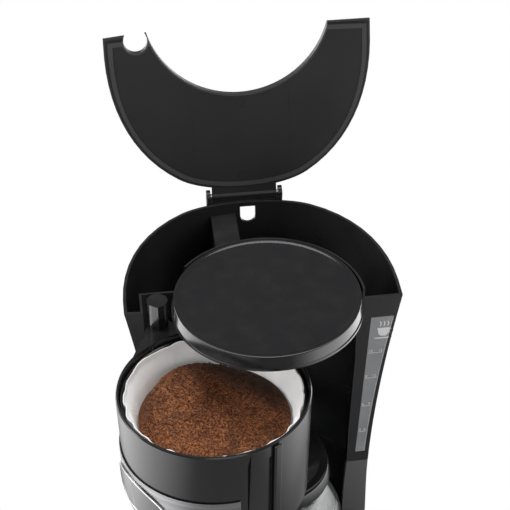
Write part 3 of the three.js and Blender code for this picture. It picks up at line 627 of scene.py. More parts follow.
def makeGauge():
    piece = flared("waterGauge", gaugeStrip["sink"], body["split"], body["rim"])
    carve(piece, flared("behind", gaugeStrip["sink"] + gaugeStrip["thick"], body["split"] - 1,
                        body["rim"] + 1))
    keep(piece, gaugeCutter(0.3), block(70, 115, 10, 32, 130, 310))
    smooth(soften(piece, 0.3))
    finish(piece, "gaugeSmoke", "gauge", "housing", "water_gauge")
    parts = []

    def mark(outline):
        parts.append(slab("mark", outline, 0, 0.12))

    def numeral(text, x, z, align):
        deselectAll()
        bpy.ops.object.text_add(location=(x * mm, 0, z * mm), rotation=(math.pi / 2, 0, 0))
        letter = bpy.context.object
        letter.data.body, letter.data.align_x, letter.data.align_y = text, align, "CENTER"
        letter.data.size, letter.data.extrude = marks["size"] * mm, 0.06 * mm
        bpy.ops.object.convert(target="MESH")
        bpy.ops.object.transform_apply()
        parts.append(bpy.context.object)
    for z, left, right in zip(marks["levels"], marks["left"], marks["right"]):
        x0, x1 = gaugeSides(z)
        x0, x1 = x0 + 1.2, x1 - 2.2
        mark([(x0, z), (x1, z), (x1, z + marks["line"]), (x0, z + marks["line"])])
        numeral(left, x0, z + marks["lift"], "LEFT")
        numeral(right, x1, z + marks["lift"], "RIGHT")
    x, z = marks["cupAt"]

    def icon(points):
        mark([(x + a * marks["grow"], z + b * marks["grow"]) for a, b in points])
    icon([(-3.4, 0), (3.4, 0), (2.6, -4), (1.4, -5.4), (-1.4, -5.4), (-2.6, -4)])
    turns = [math.pi * i / 8 for i in range(9)]
    icon([(3.3 + 2 * math.sin(a), -2.2 + 1.7 * math.cos(a)) for a in turns]
         + [(3.3 + 1.2 * math.sin(a), -2.2 + math.cos(a)) for a in reversed(turns)])
    icon([(-5, -6.4), (5, -6.4), (4, -7.2), (-4, -7.2)])
    for shift in (-1.6, 0.4, 2.4):
        icon([(shift - 0.6, 1.2), (shift, 1.2), (shift + 0.5, 2.8), (shift, 4.4), (shift - 0.6, 4.4),
              (shift - 0.1, 2.8)])
    heights = [gaugeStrip["z0"] + 1.5 + 15 * i for i in range(11)]
    mark([(gaugeSides(z)[1] - 1.0, z) for z in heights] + [(gaugeSides(z)[1] - 1.35, z)
                                                           for z in reversed(heights)])
    sheet = joinUp("gaugeMarks", parts)
    for vertex in sheet.data.vertices:
        vertex.co.y += (gaugeFace(vertex.co.x / mm, vertex.co.z / mm, gaugeStrip["sink"]) - 0.13) * mm
    finish(sheet, "gaugeInk", "gauge", "housing")


makeUpperBody()
makeLowerBody()
makeLegPanel(-1)
makeLegPanel(1)
makeGauge()
print("body, tank and gauge made")


# Lid hinge and tank lid
def makeHingeBracket():
    w, y, z, low = hinge["half"], hinge["y"], hinge["z"], body["rim"] - 14
    piece = block(-w - 5, w + 5, 169.8, 180.6, body["rim"] - 3.6, body["rim"] - 0.4, name="hingeBracket")
    for x0, x1 in ((-w - 5, -w - 1.5), (w + 1.5, w + 5)):
        ear = weld(drum(5.6, x0, x1, (y, z), "X", 48), block(x0, x1, 169.8, y + 5.4, low, z))
        weld(piece, ear)
    carve(piece, drum(2.2, -w - 6, w + 6, (y, z), "X", 24))
    smooth(soften(piece, 0.4))
    finish(piece, "bodySatin", "black_satin", "housing", "hinge_bracket")
    pin = drum(1.9, -w - 4.6, w + 4.6, (y, z), "X", 32, name="lidHingePin")
    smooth(soften(pin, 0.4, 3))
    finish(pin, "steel", "steel", "housing", "lid_hinge_pin")


lid = {"low": 318, "thick": 7, "front": 22, "crescent": 80.4, "notch": 10.2, "border": 4,
       "creases": (-42, 42), "ejectorR": 4.3}


def makeTankLid():
    z0, half, back = lid["low"], body["halfTop"] - 0.2, body["backTop"] - 0.6
    layers = [(3.6, 0, 2.6), (1.6, 2, 4.4), (0, 3.8, lid["thick"])]
    parts = [raised("layer", bodyOutline(half, back, inset, 12), z0 + a, z0 + b) for inset, a, b in layers]
    piece = weld(parts[0], *parts[1:])
    piece.name = "tankLid"
    carve(piece, drum(lid["crescent"], z0 - 1, z0 + 10, sides=160),
          block(-115, 115, -10, lid["front"], z0 - 1, z0 + 10),
          drum(lid["notch"], z0 - 1, z0 + 10, (pivot["x"], pivot["y"] + 1), sides=48))
    arm = weld(drum(hinge["r"], -hinge["half"], hinge["half"], (hinge["y"], hinge["z"]), "X", 40),
               block(-hinge["half"], hinge["half"], 164, hinge["y"], z0 + 0.6, z0 + 4.4))
    weld(piece, arm)
    carve(piece, drum(2.3, -40, 40, (hinge["y"], hinge["z"]), "X", 24))
    field = raised("field", bodyOutline(half, back, 3.6 + lid["border"], 12), z0 - 1, z0 + 0.35)
    carve(field, drum(lid["crescent"] + 1.6, z0 - 2, z0 + 3, sides=160),
          block(-120, 120, -10, lid["front"] + 2, z0 - 2, z0 + 3),
          drum(lid["notch"] + 1.6, z0 - 2, z0 + 3, (pivot["x"], pivot["y"] + 1), sides=48))
    carve(piece, field)
    for x in lid["creases"]:
        carve(piece, block(x - 0.12, x + 0.12, 60, 162, z0 - 1, z0 + 0.45))
    for y in (88, 156):
        ring = turned("ring", [(lid["ejectorR"] - 0.5, z0 - 1), (lid["ejectorR"], z0 - 1),
                               (lid["ejectorR"], z0 + 0.6), (lid["ejectorR"] - 0.5, z0 + 0.6)], 40, 0, y)
        carve(piece, ring)
    smooth(soften(piece, 0.3))
    finish(piece, "lidSatin", "black_satin", "tank_lid", "tank_lid")
    # the bottom border ring and the downward faces of the outer ledge take the lighter copy: painted light where light
    # catches the border
    piece.data.materials.append(finishes["lidBorderPaintedLight"])
    for face in piece.data.polygons:
        if abs(face.center.z / mm - z0) < 0.1 or (face.normal.z < -0.3 and face.center.z / mm > z0 + 2.4):
            face.material_index = 1
    return turnMesh(piece, -hinge["open"], "X", (0, hinge["y"], hinge["z"]))


makeHingeBracket()
makeTankLid()
print("lid made")


# Brew head
cap = {"r": 75.2, "skirtR": 76.9, "skirt": 13, "dish": 0.9, "sides": 160}


def makeBrewCap():
    z, r, low = body["capTop"], cap["skirtR"], body["capTop"] - cap["skirt"]
    flat = cap["r"] - 6
    profile = [(0, z - 0.6), (flat - 20, z - 0.65), (flat, z - cap["dish"])]
    profile += [(flat + 1.4, z - 0.75), (flat + 2.6, z - 0.25), (flat + 3.6, z), (cap["r"] - 1, z)]
    profile += [(cap["r"] - 0.3, z - 0.25), (cap["r"], z - 0.9), (r - 0.8, low + 3), (r - 0.7, low + 2.4),
                (r, low + 2.2)]
    profile += [(r, low + 0.3), (r - 0.3, low), (r - 2.8, low), (cap["r"] - 2.2, z - 4), (0, z - 3.2)]
    piece = turned("brewCap", profile, cap["sides"])
    weld(piece, *[block(11 * s - 1.2, 11 * s + 1.2, -30, 30, 326.6, z - 2) for s in (-1, 1)])
    carve(piece, block(-10, 10, 60, 90, 325, 337.5))
    smooth(piece, 25)
    return finish(piece, "capGloss", "black_gloss", "housing", "brew_cap")


shower = {"holeR": 1.2, "rings": ((18, 6), (32, 10), (44, 12))}


def makeShower():
    profile = [(0, 319), (51, 319), (52, 319.3), (54, 321.4), (54, 322.7), (52.6, 322.7), (50.6, 320.8),
               (0, 320.8)]
    piece = turned("showerPlate", profile, 96)
    holes = [drum(shower["holeR"], 315, 325, (r * math.cos(a), r * math.sin(a)), sides=10)
             for r, count in shower["rings"] for a in (2 * math.pi * i / count for i in range(count))]
    carve(piece, joinUp("holes", holes))
    smooth(piece)
    return finish(piece, "bodySatin", "black_satin", "housing", "shower_plate")


makeBrewCap()
makeShower()
print("brew head made")


# Filter holder, modelled shut and then swung out
band = {"z0": 211, "z1": 254, "from": -165, "to": -36, "thick": 1.0, "gap": 0.3}
badge = {"a": 35, "b": 16, "rim": 1.5, "turn": -18}
grip = {"from": -15.2, "to": -10, "low": 219, "high": 301, "proud": 3.4}
thumb = {"from": -31.5, "to": -16, "low": 219, "high": 291, "deep": 1.3}


def cupAt(z):
    return cup["rLow"] + (cup["r"] - cup["rLow"]) * (z - cup["chamfer"]) / (cup["top"] - cup["chamfer"])


def cupSkin(name, r0, r1, z0, z1, sides=160):
    rings = [(cupAt(z) + r, z) for z, r in ((z0, r0), (z0, r1), (z1, r1), (z1, r0))]
    return turned(name, rings, sides, 0, cup["y"])


def sector(a0, a1, r0, r1, z0, z1):
    turns = [math.radians(a0 + (a1 - a0) * i / 24) for i in range(25)]
    outer = [(r1 * math.cos(a), cup["y"] + r1 * math.sin(a)) for a in turns]
    inner = [(r0 * math.cos(a), cup["y"] + r0 * math.sin(a)) for a in reversed(turns)]
    return raised("sector", outer + inner, z0, z1)


def makeHolder():
    r, top, low, y, wall = cup["r"], cup["top"], cup["low"], cup["y"], cup["wall"]
    side = [(0, low), (48, low), (50, low + 0.6), (cup["rLow"] - 1.2, cup["chamfer"] - 0.8),
            (cup["rLow"], cup["chamfer"] + 1)]
    piece = turned("filterHolder", side + [(r - 0.1, top - 1), (r - 0.8, top), (0, top)], 160, 0, y)
    toPivot = math.atan2(pivot["y"] - y, pivot["x"])
    lean = math.acos((cup["rLow"] - pivot["r"]) / math.hypot(pivot["x"], pivot["y"] - y))

    def around(x, yy, radius, angle):
        return x + radius * math.cos(angle), yy + radius * math.sin(angle)
    web = raised("web", [around(0, y, cup["rLow"] - 1, toPivot + lean), (-3, y - 1),
                         around(0, y, cup["rLow"] - 1, toPivot - math.radians(12)),
                         (pivot["x"] + 2, pivot["y"] + pivot["r"] - 0.4),
                         around(pivot["x"], pivot["y"], pivot["r"] - 1, toPivot + lean)], low + 0.05,
                         top - 0.05)
    ahead, half = math.radians(pivot["open"] - 90), math.acos(pivot["r"] / pivot["tip"])
    turns = [ahead + half + (2 * math.pi - 2 * half) * i / 36 for i in range(37)]
    curve = [around(pivot["x"], pivot["y"], pivot["r"], a) for a in turns]
    post = raised("post", curve + [around(pivot["x"], pivot["y"], pivot["tip"], ahead)], low, pivot["top"])
    weld(piece, web, post)
    inner = [(0, low + wall), (50 - wall, low + wall), (cup["rLow"] - wall, cup["chamfer"]),
             (r - wall, top), (r - wall, top + 20), (0, top + 20)]
    notch = keep(cupSkin("notch", -thumb["deep"], 8, thumb["low"], thumb["high"]),
                 sector(thumb["from"], thumb["to"], 60, 90, low, top))
    carve(piece, turned("inner", inner, 160, 0, y), notch,
          drum(3.7, low - 5, pivot["top"] - 5.4, (pivot["x"], pivot["y"]), sides=32),
          drum(6.3, low - 5, low + 20, (0, y), sides=32))
    smooth(soften(piece, 0.6))
    finish(swingOut(piece), "holderSatin", "black_satin", "filter_holder", "filter_holder")


def makeHolderTrim():
    strip = cupSkin("holderBand", band["gap"], band["gap"] + band["thick"], band["z0"], band["z1"])
    keep(strip, sector(band["from"], band["to"], 60, 100, 200, 300))
    smooth(soften(strip, 0.25))
    finish(swingOut(strip), "bandMetal", "band_metal", "filter_holder", "holder_band")
    ridge = cupSkin("holderGrip", 0.3, grip["proud"], grip["low"], grip["high"])
    keep(ridge, sector(grip["from"], grip["to"], 60, 100, 200, 330))
    smooth(soften(ridge, 1.2, 4))
    finish(swingOut(ridge), "capGloss", "black_gloss", "filter_holder", "holder_grip")
    middle = (band["z0"] + band["z1"]) / 2

    def ellipse(a, b):
        return [(a * math.cos(t), middle + b * math.sin(t))
                for t in (2 * math.pi * i / 72 for i in range(72))]

    def oval(a, b, thick0, thick1, name):
        return keep(slab(name, ellipse(a, b), cup["y"] - 90, cup["y"] - 60),
                    cupSkin("skin", thick0, thick1, band["z0"], band["z1"]))
    a, b = badge["a"] - badge["rim"], badge["b"] - badge["rim"]
    plate = oval(a, b, band["thick"] + 0.6, band["thick"] + 1.55, "holderBadge")
    smooth(soften(plate, 0.2))
    turnMesh(plate, badge["turn"], "Z", (0, cup["y"], 0))
    finish(swingOut(plate), "badgeGloss", "badge", "filter_holder", "holder_badge")
    border = oval(badge["a"], badge["b"], band["thick"] + 0.6, band["thick"] + 1.8, "badgeRim")
    carve(border, slab("hole", ellipse(a, b), cup["y"] - 92, cup["y"] - 58))
    smooth(soften(border, 0.25))
    turnMesh(border, badge["turn"], "Z", (0, cup["y"], 0))
    finish(swingOut(border), "badgeRim", "band_metal", "filter_holder")


floorZ = cup["low"] + cup["wall"]
basket = {"low": floorZ + 3.8, "r": cup["r"] - cup["wall"] - 0.8, "top": cup["top"] - 6, "lowR": 44,
          "t": 1.6}
paper = {"low": floorZ + 6.2, "r": basket["r"] - 2.4, "top": basket["top"] + 1.5, "lowR": 41.6, "t": 0.9,
         "bend": basket["top"] - 4.6, "folds": 21, "wave": 0.9}
mound = {"low": floorZ + 8, "rim": 274, "peak": 297, "r": 60.5, "top": (-24, 2), "crumbs": 1300, "seed": 7,
         "sizes": (0.7, 0.9, 1.1, 1.5, 2.2), "clumpsFrom": 36, "clump": 1.9}


def makeBasket():
    low, r, lowR, t = basket["low"], basket["r"], basket["lowR"], basket["t"]
    top = basket["top"]
    side = [(0, low), (lowR - 1, low), (lowR, low + 1), (r - 4.4, top - 11.6), (r, top - 5.6),
            (r, top - 0.6), (r - 0.6, top)]
    side += [(r - t, top - 0.3), (r - t, top - 4.6), (r - 4.2 - t, top - 10.6), (lowR - 1.4, low + t),
             (0, low + t)]
    piece = turned("filterBasket", side, 128, 0, cup["y"])
    holes = [drum(2.2, low - 1, low + 3, (24 * math.cos(a), cup["y"] + 24 * math.sin(a)), sides=20)
             for a in (2 * math.pi * i / 3 for i in range(3))]
    carve(piece, drum(8, low - 1, low + 3, (0, cup["y"]), sides=48), *holes)
    smooth(piece)
    finish(swingOut(piece), "holderSatin", "black_satin", "filter_basket", "filter_basket")


def makePaper():
    low, r, lowR, t = paper["low"], paper["r"], paper["lowR"], paper["t"]
    top, bend = paper["top"], paper["bend"]
    wall = [(lowR - 1, low + t)]
    outside = [(lowR + (r - 4 - lowR) * i / 12, low + (bend - 5.4 - low) * i / 12) for i in range(13)]
    outside += [(r - 1, bend - 1.2), (r - 0.2, bend + 0.8), (r, bend + 2.6), (r, top)]
    inside = [(x - t, z + 0.2) for x, z in reversed(outside[:-1])]
    profile = [(0, low)] + outside + [(r - t, top)] + inside[:-1] + wall + [(0, low + t)]
    piece = turned("paperFilter", profile, 252, 0, cup["y"])
    rng = random.Random(4)
    ripples = [(rng.uniform(0, 2 * math.pi), rng.uniform(0.3, 1.0), n)
               for n in (3, 5, 8, 13, paper["folds"], 34)]
    for vertex in piece.data.vertices:
        x, y, z = vertex.co.x / mm, vertex.co.y / mm - cup["y"], vertex.co.z / mm
        radius, angle = math.hypot(x, y), math.atan2(y, x)
        if radius < 5:
            continue
        share = max(0, (z - low - 6) / (top - low - 6))
        push = sum(size * math.sin(n * angle + start) / (1 + n * 0.05) for start, size, n in ripples)
        crease = abs(math.sin(paper["folds"] * angle / 2 + 0.5)) ** 6
        shift = -abs(push) * paper["wave"] * share ** 2 - 0.8 * crease * share
        scale = (radius + max(-3.2, shift)) / radius
        vertex.co.x, vertex.co.y = x * scale * mm, (y * scale + cup["y"]) * mm
        if z > top - 2:
            vertex.co.z -= (0.9 + 0.9 * math.sin(5 * angle + 1) + 0.5 * math.sin(11 * angle)) * mm
    smooth(piece, 50)
    finish(swingOut(piece), "filterPaper", "paper", "filter_basket", "paper_filter")


def makeCoffee():
    low = mound["low"]
    deselectAll()
    bpy.ops.mesh.primitive_circle_add(vertices=96, radius=40 * mm, location=(0, 0, 0), fill_type="NOTHING")
    piece = bpy.context.object
    piece.name = "coffeeGrounds"
    bpy.ops.object.mode_set(mode="EDIT")
    bpy.ops.mesh.select_all(action="SELECT")
    bpy.ops.transform.translate(value=(0, cup["y"] * mm, low * mm))
    bpy.ops.mesh.edge_face_add()
    pull(0, 0, mound["rim"] - low)
    bpy.ops.transform.resize(value=(mound["r"] / 40, mound["r"] / 40, 1),
                             center_override=(0, cup["y"] * mm, low * mm))
    for _ in range(14):
        bpy.ops.mesh.inset(thickness=4.1 * mm)
    bpy.ops.mesh.poke()
    bpy.ops.mesh.select_all(action="SELECT")
    bpy.ops.mesh.subdivide(number_cuts=1)
    closeUp()
    rng = random.Random(mound["seed"])
    lumps = [(rng.uniform(-50, 50), rng.uniform(-50, 50), rng.uniform(4, 12), rng.uniform(-2.4, 3.4))
             for _ in range(46)]
    rimZ = mound["rim"] * mm
    tops = []
    for vertex in piece.data.vertices:
        x, y = vertex.co.x / mm, vertex.co.y / mm - cup["y"]
        radius = math.hypot(x, y)
        if vertex.co.z < rimZ - 1e-5:
            continue
        away = math.hypot(x - mound["top"][0], y - mound["top"][1]) / 64
        height = (mound["peak"] - mound["rim"]) * max(0, 1 - away ** 1.15)
        height += sum(h * math.exp(-((x - a) ** 2 + (y - b) ** 2) / (w * w)) for a, b, w, h in lumps)
        fade = min(1, max(0, (mound["r"] - radius) / 8))
        height = height * fade + (rng.uniform(-0.35, 0.35) if radius < mound["r"] - 1 else 0)
        vertex.co.z += max(-1.5, height) * mm
        if radius < mound["r"] - 3:
            tops.append(vertex.co.copy())
    deselectAll()
    bpy.ops.mesh.primitive_ico_sphere_add(subdivisions=1, radius=0.5 * mm, location=(0, 0, 0))
    crumb = bpy.context.object
    shape = crumb.data
    grains = bmesh.new()
    for _ in range(mound["crumbs"]):
        spot = rng.choice(tops)
        size = rng.choice(mound["sizes"])
        if spot.y / mm - cup["y"] > mound["clumpsFrom"]:
            size *= mound["clump"]
        turn = Matrix.Rotation(rng.uniform(0, 6.28), 4, (rng.random(), rng.random(), 0.1 + rng.random()))
        grow = Matrix.Diagonal((size, size * rng.uniform(0.6, 1), size * rng.uniform(0.5, 0.9), 1))
        copy = shape.copy()
        copy.transform(Matrix.Translation(spot + Vector((rng.uniform(-1, 1), rng.uniform(-1, 1),
                                                         0.25)) * mm) @ turn @ grow)
        grains.from_mesh(copy)
        bpy.data.meshes.remove(copy)
    grains.to_mesh(shape)
    grains.free()
    piece = joinUp("coffeeGrounds", [piece, crumb])
    smooth(piece, 40)
    finish(swingOut(piece), "groundCoffee", "coffee", "filter_basket", "coffee_grounds")


def makeDripValve():
    z, y = floorZ, cup["y"]
    profile = [(0, cup["low"] - 5), (4.4, cup["low"] - 5), (5.2, cup["low"] - 4.2), (5.2, z + 0.4),
               (6.9, z + 0.4), (6.9, z + 1.6), (0, z + 1.6)]
    valve = turned("dripValve", profile, 40, 0, y)
    finish(swingOut(smooth(valve)), "bodySatin", "black_satin", "drip_valve", "drip_valve")
    turns = [(3.9 * math.cos(a), y + 3.9 * math.sin(a), z + 2.1 + 1.0 * a / (6 * math.pi))
             for a in (math.pi * i / 10 for i in range(61))]
    wire = drawLine("dripValveSpring", turns)
    bpy.ops.object.mode_set(mode="OBJECT")
    bpy.ops.object.convert(target="CURVE")
    wire.data.bevel_depth, wire.data.bevel_resolution, wire.data.use_fill_caps = 0.18 * mm, 2, True
    bpy.ops.object.convert(target="MESH")
    finish(swingOut(smooth(wire)), "steel", "steel", "drip_valve", "drip_valve_spring")


makeHolder()
makeHolderTrim()
makeBasket()
makePaper()
makeCoffee()
makeDripValve()
print("filter holder, paper and coffee made")


# Jug
jug = {"low": 44.3, "neckR": 47, "neck": 118, "wall": 2.2, "ribs": (22, 34, 46, 58, 70)}


def makeJugGlass():
    z, floor = jug["low"], jug["low"] + 3.4
    bulge = [(50, 0), (52.8, 0.5), (55, 2), (57.6, 7), (60, 12.5), (61.5, 18), (63.2, 25), (64.4, 33),
             (65, 42), (64.6, 50),
             (63.6, 58), (61.6, 66), (59.4, 73), (57, 80), (54, 88), (51, 96), (48.2, 101), (47, 104),
             (47, 112), (47, 118)]
    outside = [(r, z + h) for r, h in bulge]
    ribbed = []
    for (r0, z0), (r1, z1) in zip(outside, outside[1:]):
        for k in range(4):
            t = k / 4
            r, h = r0 + (r1 - r0) * t, z0 + (z1 - z0) * t
            near = min(abs(h - z - rib) for rib in jug["ribs"])
            ribbed.append((r - 0.7 * math.exp(-(near / 1.6) ** 2), h))
    ribbed.append(outside[-1])
    inside = [(r - jug["wall"], max(h + 0.4, floor)) for r, h in reversed(ribbed[:-1])]
    inside = [inside[i] for i in range(len(inside)) if i == 0 or inside[i] != inside[i - 1]]
    profile = [(0, z + 1.2), (44, z + 1.0), (48, z)] + ribbed + [(jug["neckR"] - 0.8,
            z + jug["neck"] + 0.1), (jug["neckR"] - jug["wall"], z + jug["neck"])] + inside + [(0, floor)]
    piece = turned("jugGlass", profile, 128)
    finish(smooth(piece, 60), "jugGlass", "jug_glass", "jug", "jug_glass")


def makeJugTrim():
    z, r = jug["low"] + jug["neck"] - 14, jug["neckR"]
    ring = [(r + 0.3, z + 3.2), (r + 4.9, z + 0.3), (r + 5.5, z + 0.1), (r + 5.9, z + 1), (r + 6, z + 4),
            (r + 5.2, z + 9), (r + 4.4, z + 12.6), (r + 4, z + 13), (r + 0.3, z + 13)]
    finish(smooth(turned("jugBand", ring, 128), 40), "capGloss", "black_gloss", "jug", "jug_band")
    top, plug = jug["low"] + jug["neck"] + 0.4, r - jug["wall"] - 0.4
    dome = [(0, top + 8), (4, top + 8), (4, top + 16.6), (4.6, top + 17), (7.4, top + 17),
            (8.6, top + 16.4), (9.6, top + 15), (9.6, top + 9.4), (10.4, top + 9),
            (16, top + 10.5), (24, top + 9.6), (34, top + 7.4), (40, top + 5.4), (44, top + 3.4),
            (45.4, top + 2.9), (50.4, top + 2.4), (51, top + 1.9), (51, top + 0.4), (50.6, top)]
    dome += [(plug, top), (plug, top - 9), (plug - 1.6, top - 9), (plug - 1.6, top - 2), (0, top + 4)]
    finish(smooth(turned("jugLid", dome, 128), 35), "capGloss", "black_gloss", "jug", "jug_lid")


def makeJugHandle():
    y = -(jug["neckR"] + 4)
    outline = [(y - 3, 158)] + bezier((y - 3, 158), (y - 6, 168), (y - 9, 173), (y - 14, 175.4), 6)
    outline += bezier((y - 14, 175.4), (y - 40, 182), (y - 52, 172), (y - 56, 150), 12)
    outline += bezier((y - 56, 150), (y - 58, 118), (y - 50, 92), (y - 38, 68), 12) + [(y - 27, 66)]
    outline += bezier((y - 26, 66), (y - 40, 100), (y - 44, 130), (y - 42, 146), 12)
    outline += bezier((y - 42, 146), (y - 40, 160), (y - 28, 164), (y - 18, 160), 8) + [(y - 4, 146)]
    piece = prism("jugHandle", [(-10, a, b) for a, b in outline], (20, 0, 0))
    carve(piece, drum(jug["neckR"] + 6.4, 130, 171, sides=96), drum(56, 171, 180, sides=96))
    smooth(soften(piece, 2.6, 5, 50), 40)
    finish(piece, "holderSatin", "black_satin", "jug", "jug_handle")


makeJugGlass()
makeJugTrim()
makeJugHandle()
print("jug made")


# Base
base = {"half": 92.4, "back": 160, "low": 6, "top": 40, "wall": 2.5}
plate = {"r": 60}
screws = [(-68, -30), (68, -30), (-58, 105), (58, 105)]
bush = {"at": (45, 22), "r": 6.8, "holeR": 7.2, "flangeR": 9, "boreR": 3.6}
button = {"angle": -62, "r": 8, "z": 24, "wallR": 91.5, "pilot": -48}


def baseOutline(grow, steps=12):
    half, back = base["half"] + grow, base["back"] + grow
    points = [(half, -10), (half, 32)] + bezier((half, 32), (half, 90), (half * 0.83, 128),
                                                (half * 0.5, back - 11), steps)
    points += bezier((half * 0.5, back - 11), (half * 0.38, back - 4), (half * 0.2, back), (0, back), steps)
    whole = points + [(-x, y) for x, y in reversed(points[:-1])]
    front = [math.pi + math.pi * i / 48 for i in range(1, 48)]
    return whole + [(half * math.cos(a), -10 + half * math.sin(a)) for a in front]


def outward(piece, angle):
    # made along +X at the right height, then turned round the base's round front
    return moveMesh(turnMesh(piece, angle, "Z", (0, 0, 0)), 0, -10, 0)


def makeBase():
    piece = raised("baseShell", baseOutline(0), base["low"], base["top"])
    carve(piece, raised("hollow", baseOutline(-base["wall"]), 5, base["top"] - base["wall"]))
    weld(piece, *[drum(4.6, 8.8, 39, s, sides=24) for s in screws])
    carve(piece, *[drum(1.9, 8, 18, s, sides=16) for s in screws])
    carve(piece, drum(plate["r"] + 3.6, 30, 50, sides=128), drum(9, 30, 50, (-1, 117), sides=32),
          drum(9, 30, 50, (3, 89), sides=32),
          outward(drum(button["r"] + 0.4, 82, 96, (0, button["z"]), "X", 48), button["angle"]),
          outward(drum(2.6, 82, 96, (0, button["z"]), "X", 32), button["pilot"]),
          drum(bush["holeR"], 130, 170, bush["at"], "Y", 40))
    smooth(soften(piece, 0.8, 3))
    finish(piece, "bodySatin", "black_satin", "housing", "base_shell")


def makeButton():
    z, r, wall = button["z"], button["r"], button["wallR"]
    profile = [(0, 78), (2.5, 78), (2.5, 84), (r + 1.4, 84), (r + 1.4, 86.2), (r, 86.4), (r, wall + 1.6),
               (r - 0.6, wall + 2.2), (r - 1.6, wall + 2.2), (r - 2.4, wall + 1.7), (0, wall + 1.5)]
    key = turned("powerButton", profile, 64)
    moveMesh(turnMesh(key, 90, "Y", (0, 0, 0)), 0, 0, z)
    finish(smooth(outward(key, button["angle"])), "capGloss", "black_gloss", "power_button", "power_button")
    lens = turned("pilotLight", [(0, 84), (3.6, 84), (3.6, 86.4), (2.3, 86.4), (2.3, wall),
                                 (1.6, wall + 0.5), (0, wall + 0.6)], 40)
    moveMesh(turnMesh(lens, 90, "Y", (0, 0, 0)), 0, 0, z)
    finish(smooth(outward(lens, button["pilot"])), "pilotLens", "pilot_lens", "housing", "pilot_light")


def makePlate():
    r = plate["r"]
    rings = [(0, 41.5), (r - 3, 41.5), (r - 3, 39), (r, 39), (r, 42.6), (r - 0.6, 43.2), (r - 1.6, 43.9),
             (r - 2.2, 44)]
    rings += [(r - 9, 44), (r - 9.6, 43.6), (r - 10.4, 43.6), (r - 11, 44), (0, 44)]
    finish(smooth(turned("hotPlate", rings, 128), 20), "plateCoating", "plate_coating", "housing",
           "hot_plate")
    s = r + 0.3
    lip = [(s, 38), (s + 3, 38), (s + 3, 40), (s + 4.3, 40.3), (s + 4.3, 41), (s + 3.6, 41.2), (s, 41.8)]
    finish(smooth(turned("plateSeal", lip, 128)), "rubber", "silicone", "housing", "plate_seal")


def makeFeet():
    spots = {"foot_front_left": (-60, -52, 8), "foot_front_right": (60, -52, 8),
             "foot_rear_left": (-62, 84, 8),
             "foot_rear_right": (62, 84, 8), "foot_centre": (0, 0, 10)}
    for node, (x, y, r) in spots.items():
        parts = node.split("_")
        name = parts[0] + "".join(p.title() for p in parts[1:])
        foot = turned(name, [(0, 0.6), (r - 3, 0.6), (r - 2.4, 0), (r - 1, 0), (r - 0.3, 0.3), (r, 1),
                             (r, 5.7), (0, 5.7)], 48, x, y)
        finish(smooth(foot), "rubber", "rubber", "housing", node)


def makeBush():
    at = bush["at"]
    piece = weld(drum(bush["r"], 133, 157, at, "Y", 48, "cordBush"),
                 drum(bush["flangeR"], 131, 134, at, "Y", 48))
    carve(piece, drum(bush["boreR"], 125, 170, at, "Y", 32))
    smooth(soften(piece, 0.6, 3))
    finish(piece, "rubber", "rubber", "housing", "cord_bush")


makeBase()
makeButton()
makePlate()
makeFeet()
makeBush()
print("base made")


# Parts that stay as the frame has them
staying = {
    "base_cover": "bodySatin", "base_screw_1": "steel", "base_screw_2": "steel", "base_screw_3": "steel",
    "base_screw_4": "steel",
    "power_switch": "bodySatin", "flow_heater": "aluminium", "thermostat": "aluminium",
    "thermal_fuse": "silicone",
    "check_valve": "silicone", "cold_hose": "silicone", "hot_riser": "silicone",
    "brew_channel": "bodySatin", "pivot_pin": "steel",
}
for node, finishName in staying.items():
    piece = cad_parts[node]
    piece.data.materials.clear()
    piece.data.materials.append(finishes[finishName])
print("frame parts finished")


# Floor, light and camera
sheet = {"dark": (0.36, 0.36, 0.36), "light": (0.4, 0.4, 0.4), "glow": 3.6, "glowFrom": (0.2, 0.5),
         "nearFrom": (-0.9, -0.4)}


def toCamera(tree, lighting, seen, output):
    # one shader lights the scene, the other is what the camera sees in its place
    ray = add(tree, "LightPath").outputs["Is Camera Ray"]
    either = add(tree, "MixShader", {"Fac": ray, 1: lighting.outputs[0], 2: seen.outputs[0]})
    feed(tree.nodes[output], {"Surface": either.outputs[0]})


def makeStage():
    deselectAll()
    bpy.ops.mesh.primitive_plane_add(size=6, location=(0, 0, 0))
    floor = bpy.context.object
    floor.name = "floor"
    material, tree, shader = newMaterial("paleFloor", Roughness=0.9)
    place = objectPlace(tree)
    cloud = add(tree, "TexNoise", {"Vector": place, "Scale": 3.0}).outputs["Fac"]
    side = add(tree, "SeparateXYZ", {"Vector": place})
    aside = reckon(tree, "ABSOLUTE", side.outputs["X"])
    flank = ranged(tree, aside, 0, sheet["glow"], *sheet["glowFrom"])
    near = ranged(tree, side.outputs["Y"], 0, 1, *sheet["nearFrom"])
    feed(shader, {"Base Color": blend(tree, cloud, sheet["dark"], sheet["light"]),
                  "Emission Color": (1, 1, 1, 1),
                  "Emission Strength": reckon(tree, "MULTIPLY", flank, near)})
    white = add(tree, "Emission", {"Color": (1, 1, 1, 1), "Strength": 1.0})
    toCamera(tree, shader, white, "Material Output")
    floor.data.materials.append(material)


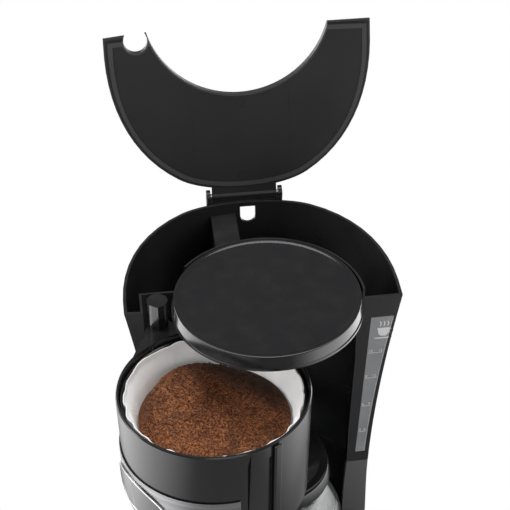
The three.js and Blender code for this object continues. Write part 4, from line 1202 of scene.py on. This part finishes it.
lamps = {
    "leftBox": {"at": (-1.4, 0.2, 0.9), "size": (0.7, 1.1), "power": 20},
    "rightBox": {"at": (1.4, -0.3, 1.2), "size": (1.0, 1.2), "power": 10},
    "topBox": {"at": (0.1, 0.4, 1.9), "size": (1.6, 0.9), "power": 22},
    "frontBox": {"at": (0.2, -1.8, 1.3), "size": (1.4, 0.8), "power": 7},
}


backdrop = {"room": 0.26, "seen": 1.0}


def makeLights():
    for name, facts in lamps.items():
        lamp = bpy.data.lights.new(name, "AREA")
        lamp.shape, (lamp.size, lamp.size_y), lamp.energy = "RECTANGLE", facts["size"], facts["power"]
        holder = bpy.data.objects.new(name, lamp)
        bpy.context.scene.collection.objects.link(holder)
        holder.location = facts["at"]
        holder.rotation_euler = (Vector((0, 0.02, 0.28)) - Vector(facts["at"])).to_track_quat("-Z",
                                                                                              "Y").to_euler()
    world = bpy.data.worlds.new("paleRoom")
    world.use_nodes = True
    tree = world.node_tree
    room = tree.nodes["Background"]
    feed(room, {"Color": (1, 1, 1, 1), "Strength": backdrop["room"]})
    seen = add(tree, "Background", {"Color": (1, 1, 1, 1), "Strength": backdrop["seen"]})
    toCamera(tree, room, seen, "World Output")
    bpy.context.scene.world = world


viewpoint = {"azimuth": -6.09, "elevation": 37.61, "roll": -0.71, "away": 1.32685,
             "target": (-0.00955, 0, 0.38656), "lens": 120}


def makeCamera():
    turn, lift, roll = (math.radians(viewpoint[k]) for k in ("azimuth", "elevation", "roll"))
    back = Vector((math.sin(turn) * math.cos(lift), -math.cos(turn) * math.cos(lift), math.sin(lift)))
    right = Vector((math.cos(turn), math.sin(turn), 0))
    up = back.cross(right)
    right, up = right * math.cos(roll) + up * math.sin(roll), up * math.cos(roll) - right * math.sin(roll)
    data = bpy.data.cameras.new("camera")
    data.lens, data.sensor_width, data.clip_start, data.clip_end = viewpoint["lens"], 36, 0.05, 20
    camera = bpy.data.objects.new("camera", data)
    bpy.context.scene.collection.objects.link(camera)
    spot = Vector(viewpoint["target"]) + back * viewpoint["away"]
    camera.matrix_world = Matrix.Translation(spot) @ Matrix((right, up, back)).transposed().to_4x4()
    bpy.context.scene.camera = camera


makeStage()
makeLights()
makeCamera()
bpy.context.scene.view_settings.view_transform = "Standard"
print("stage, lights and camera made")
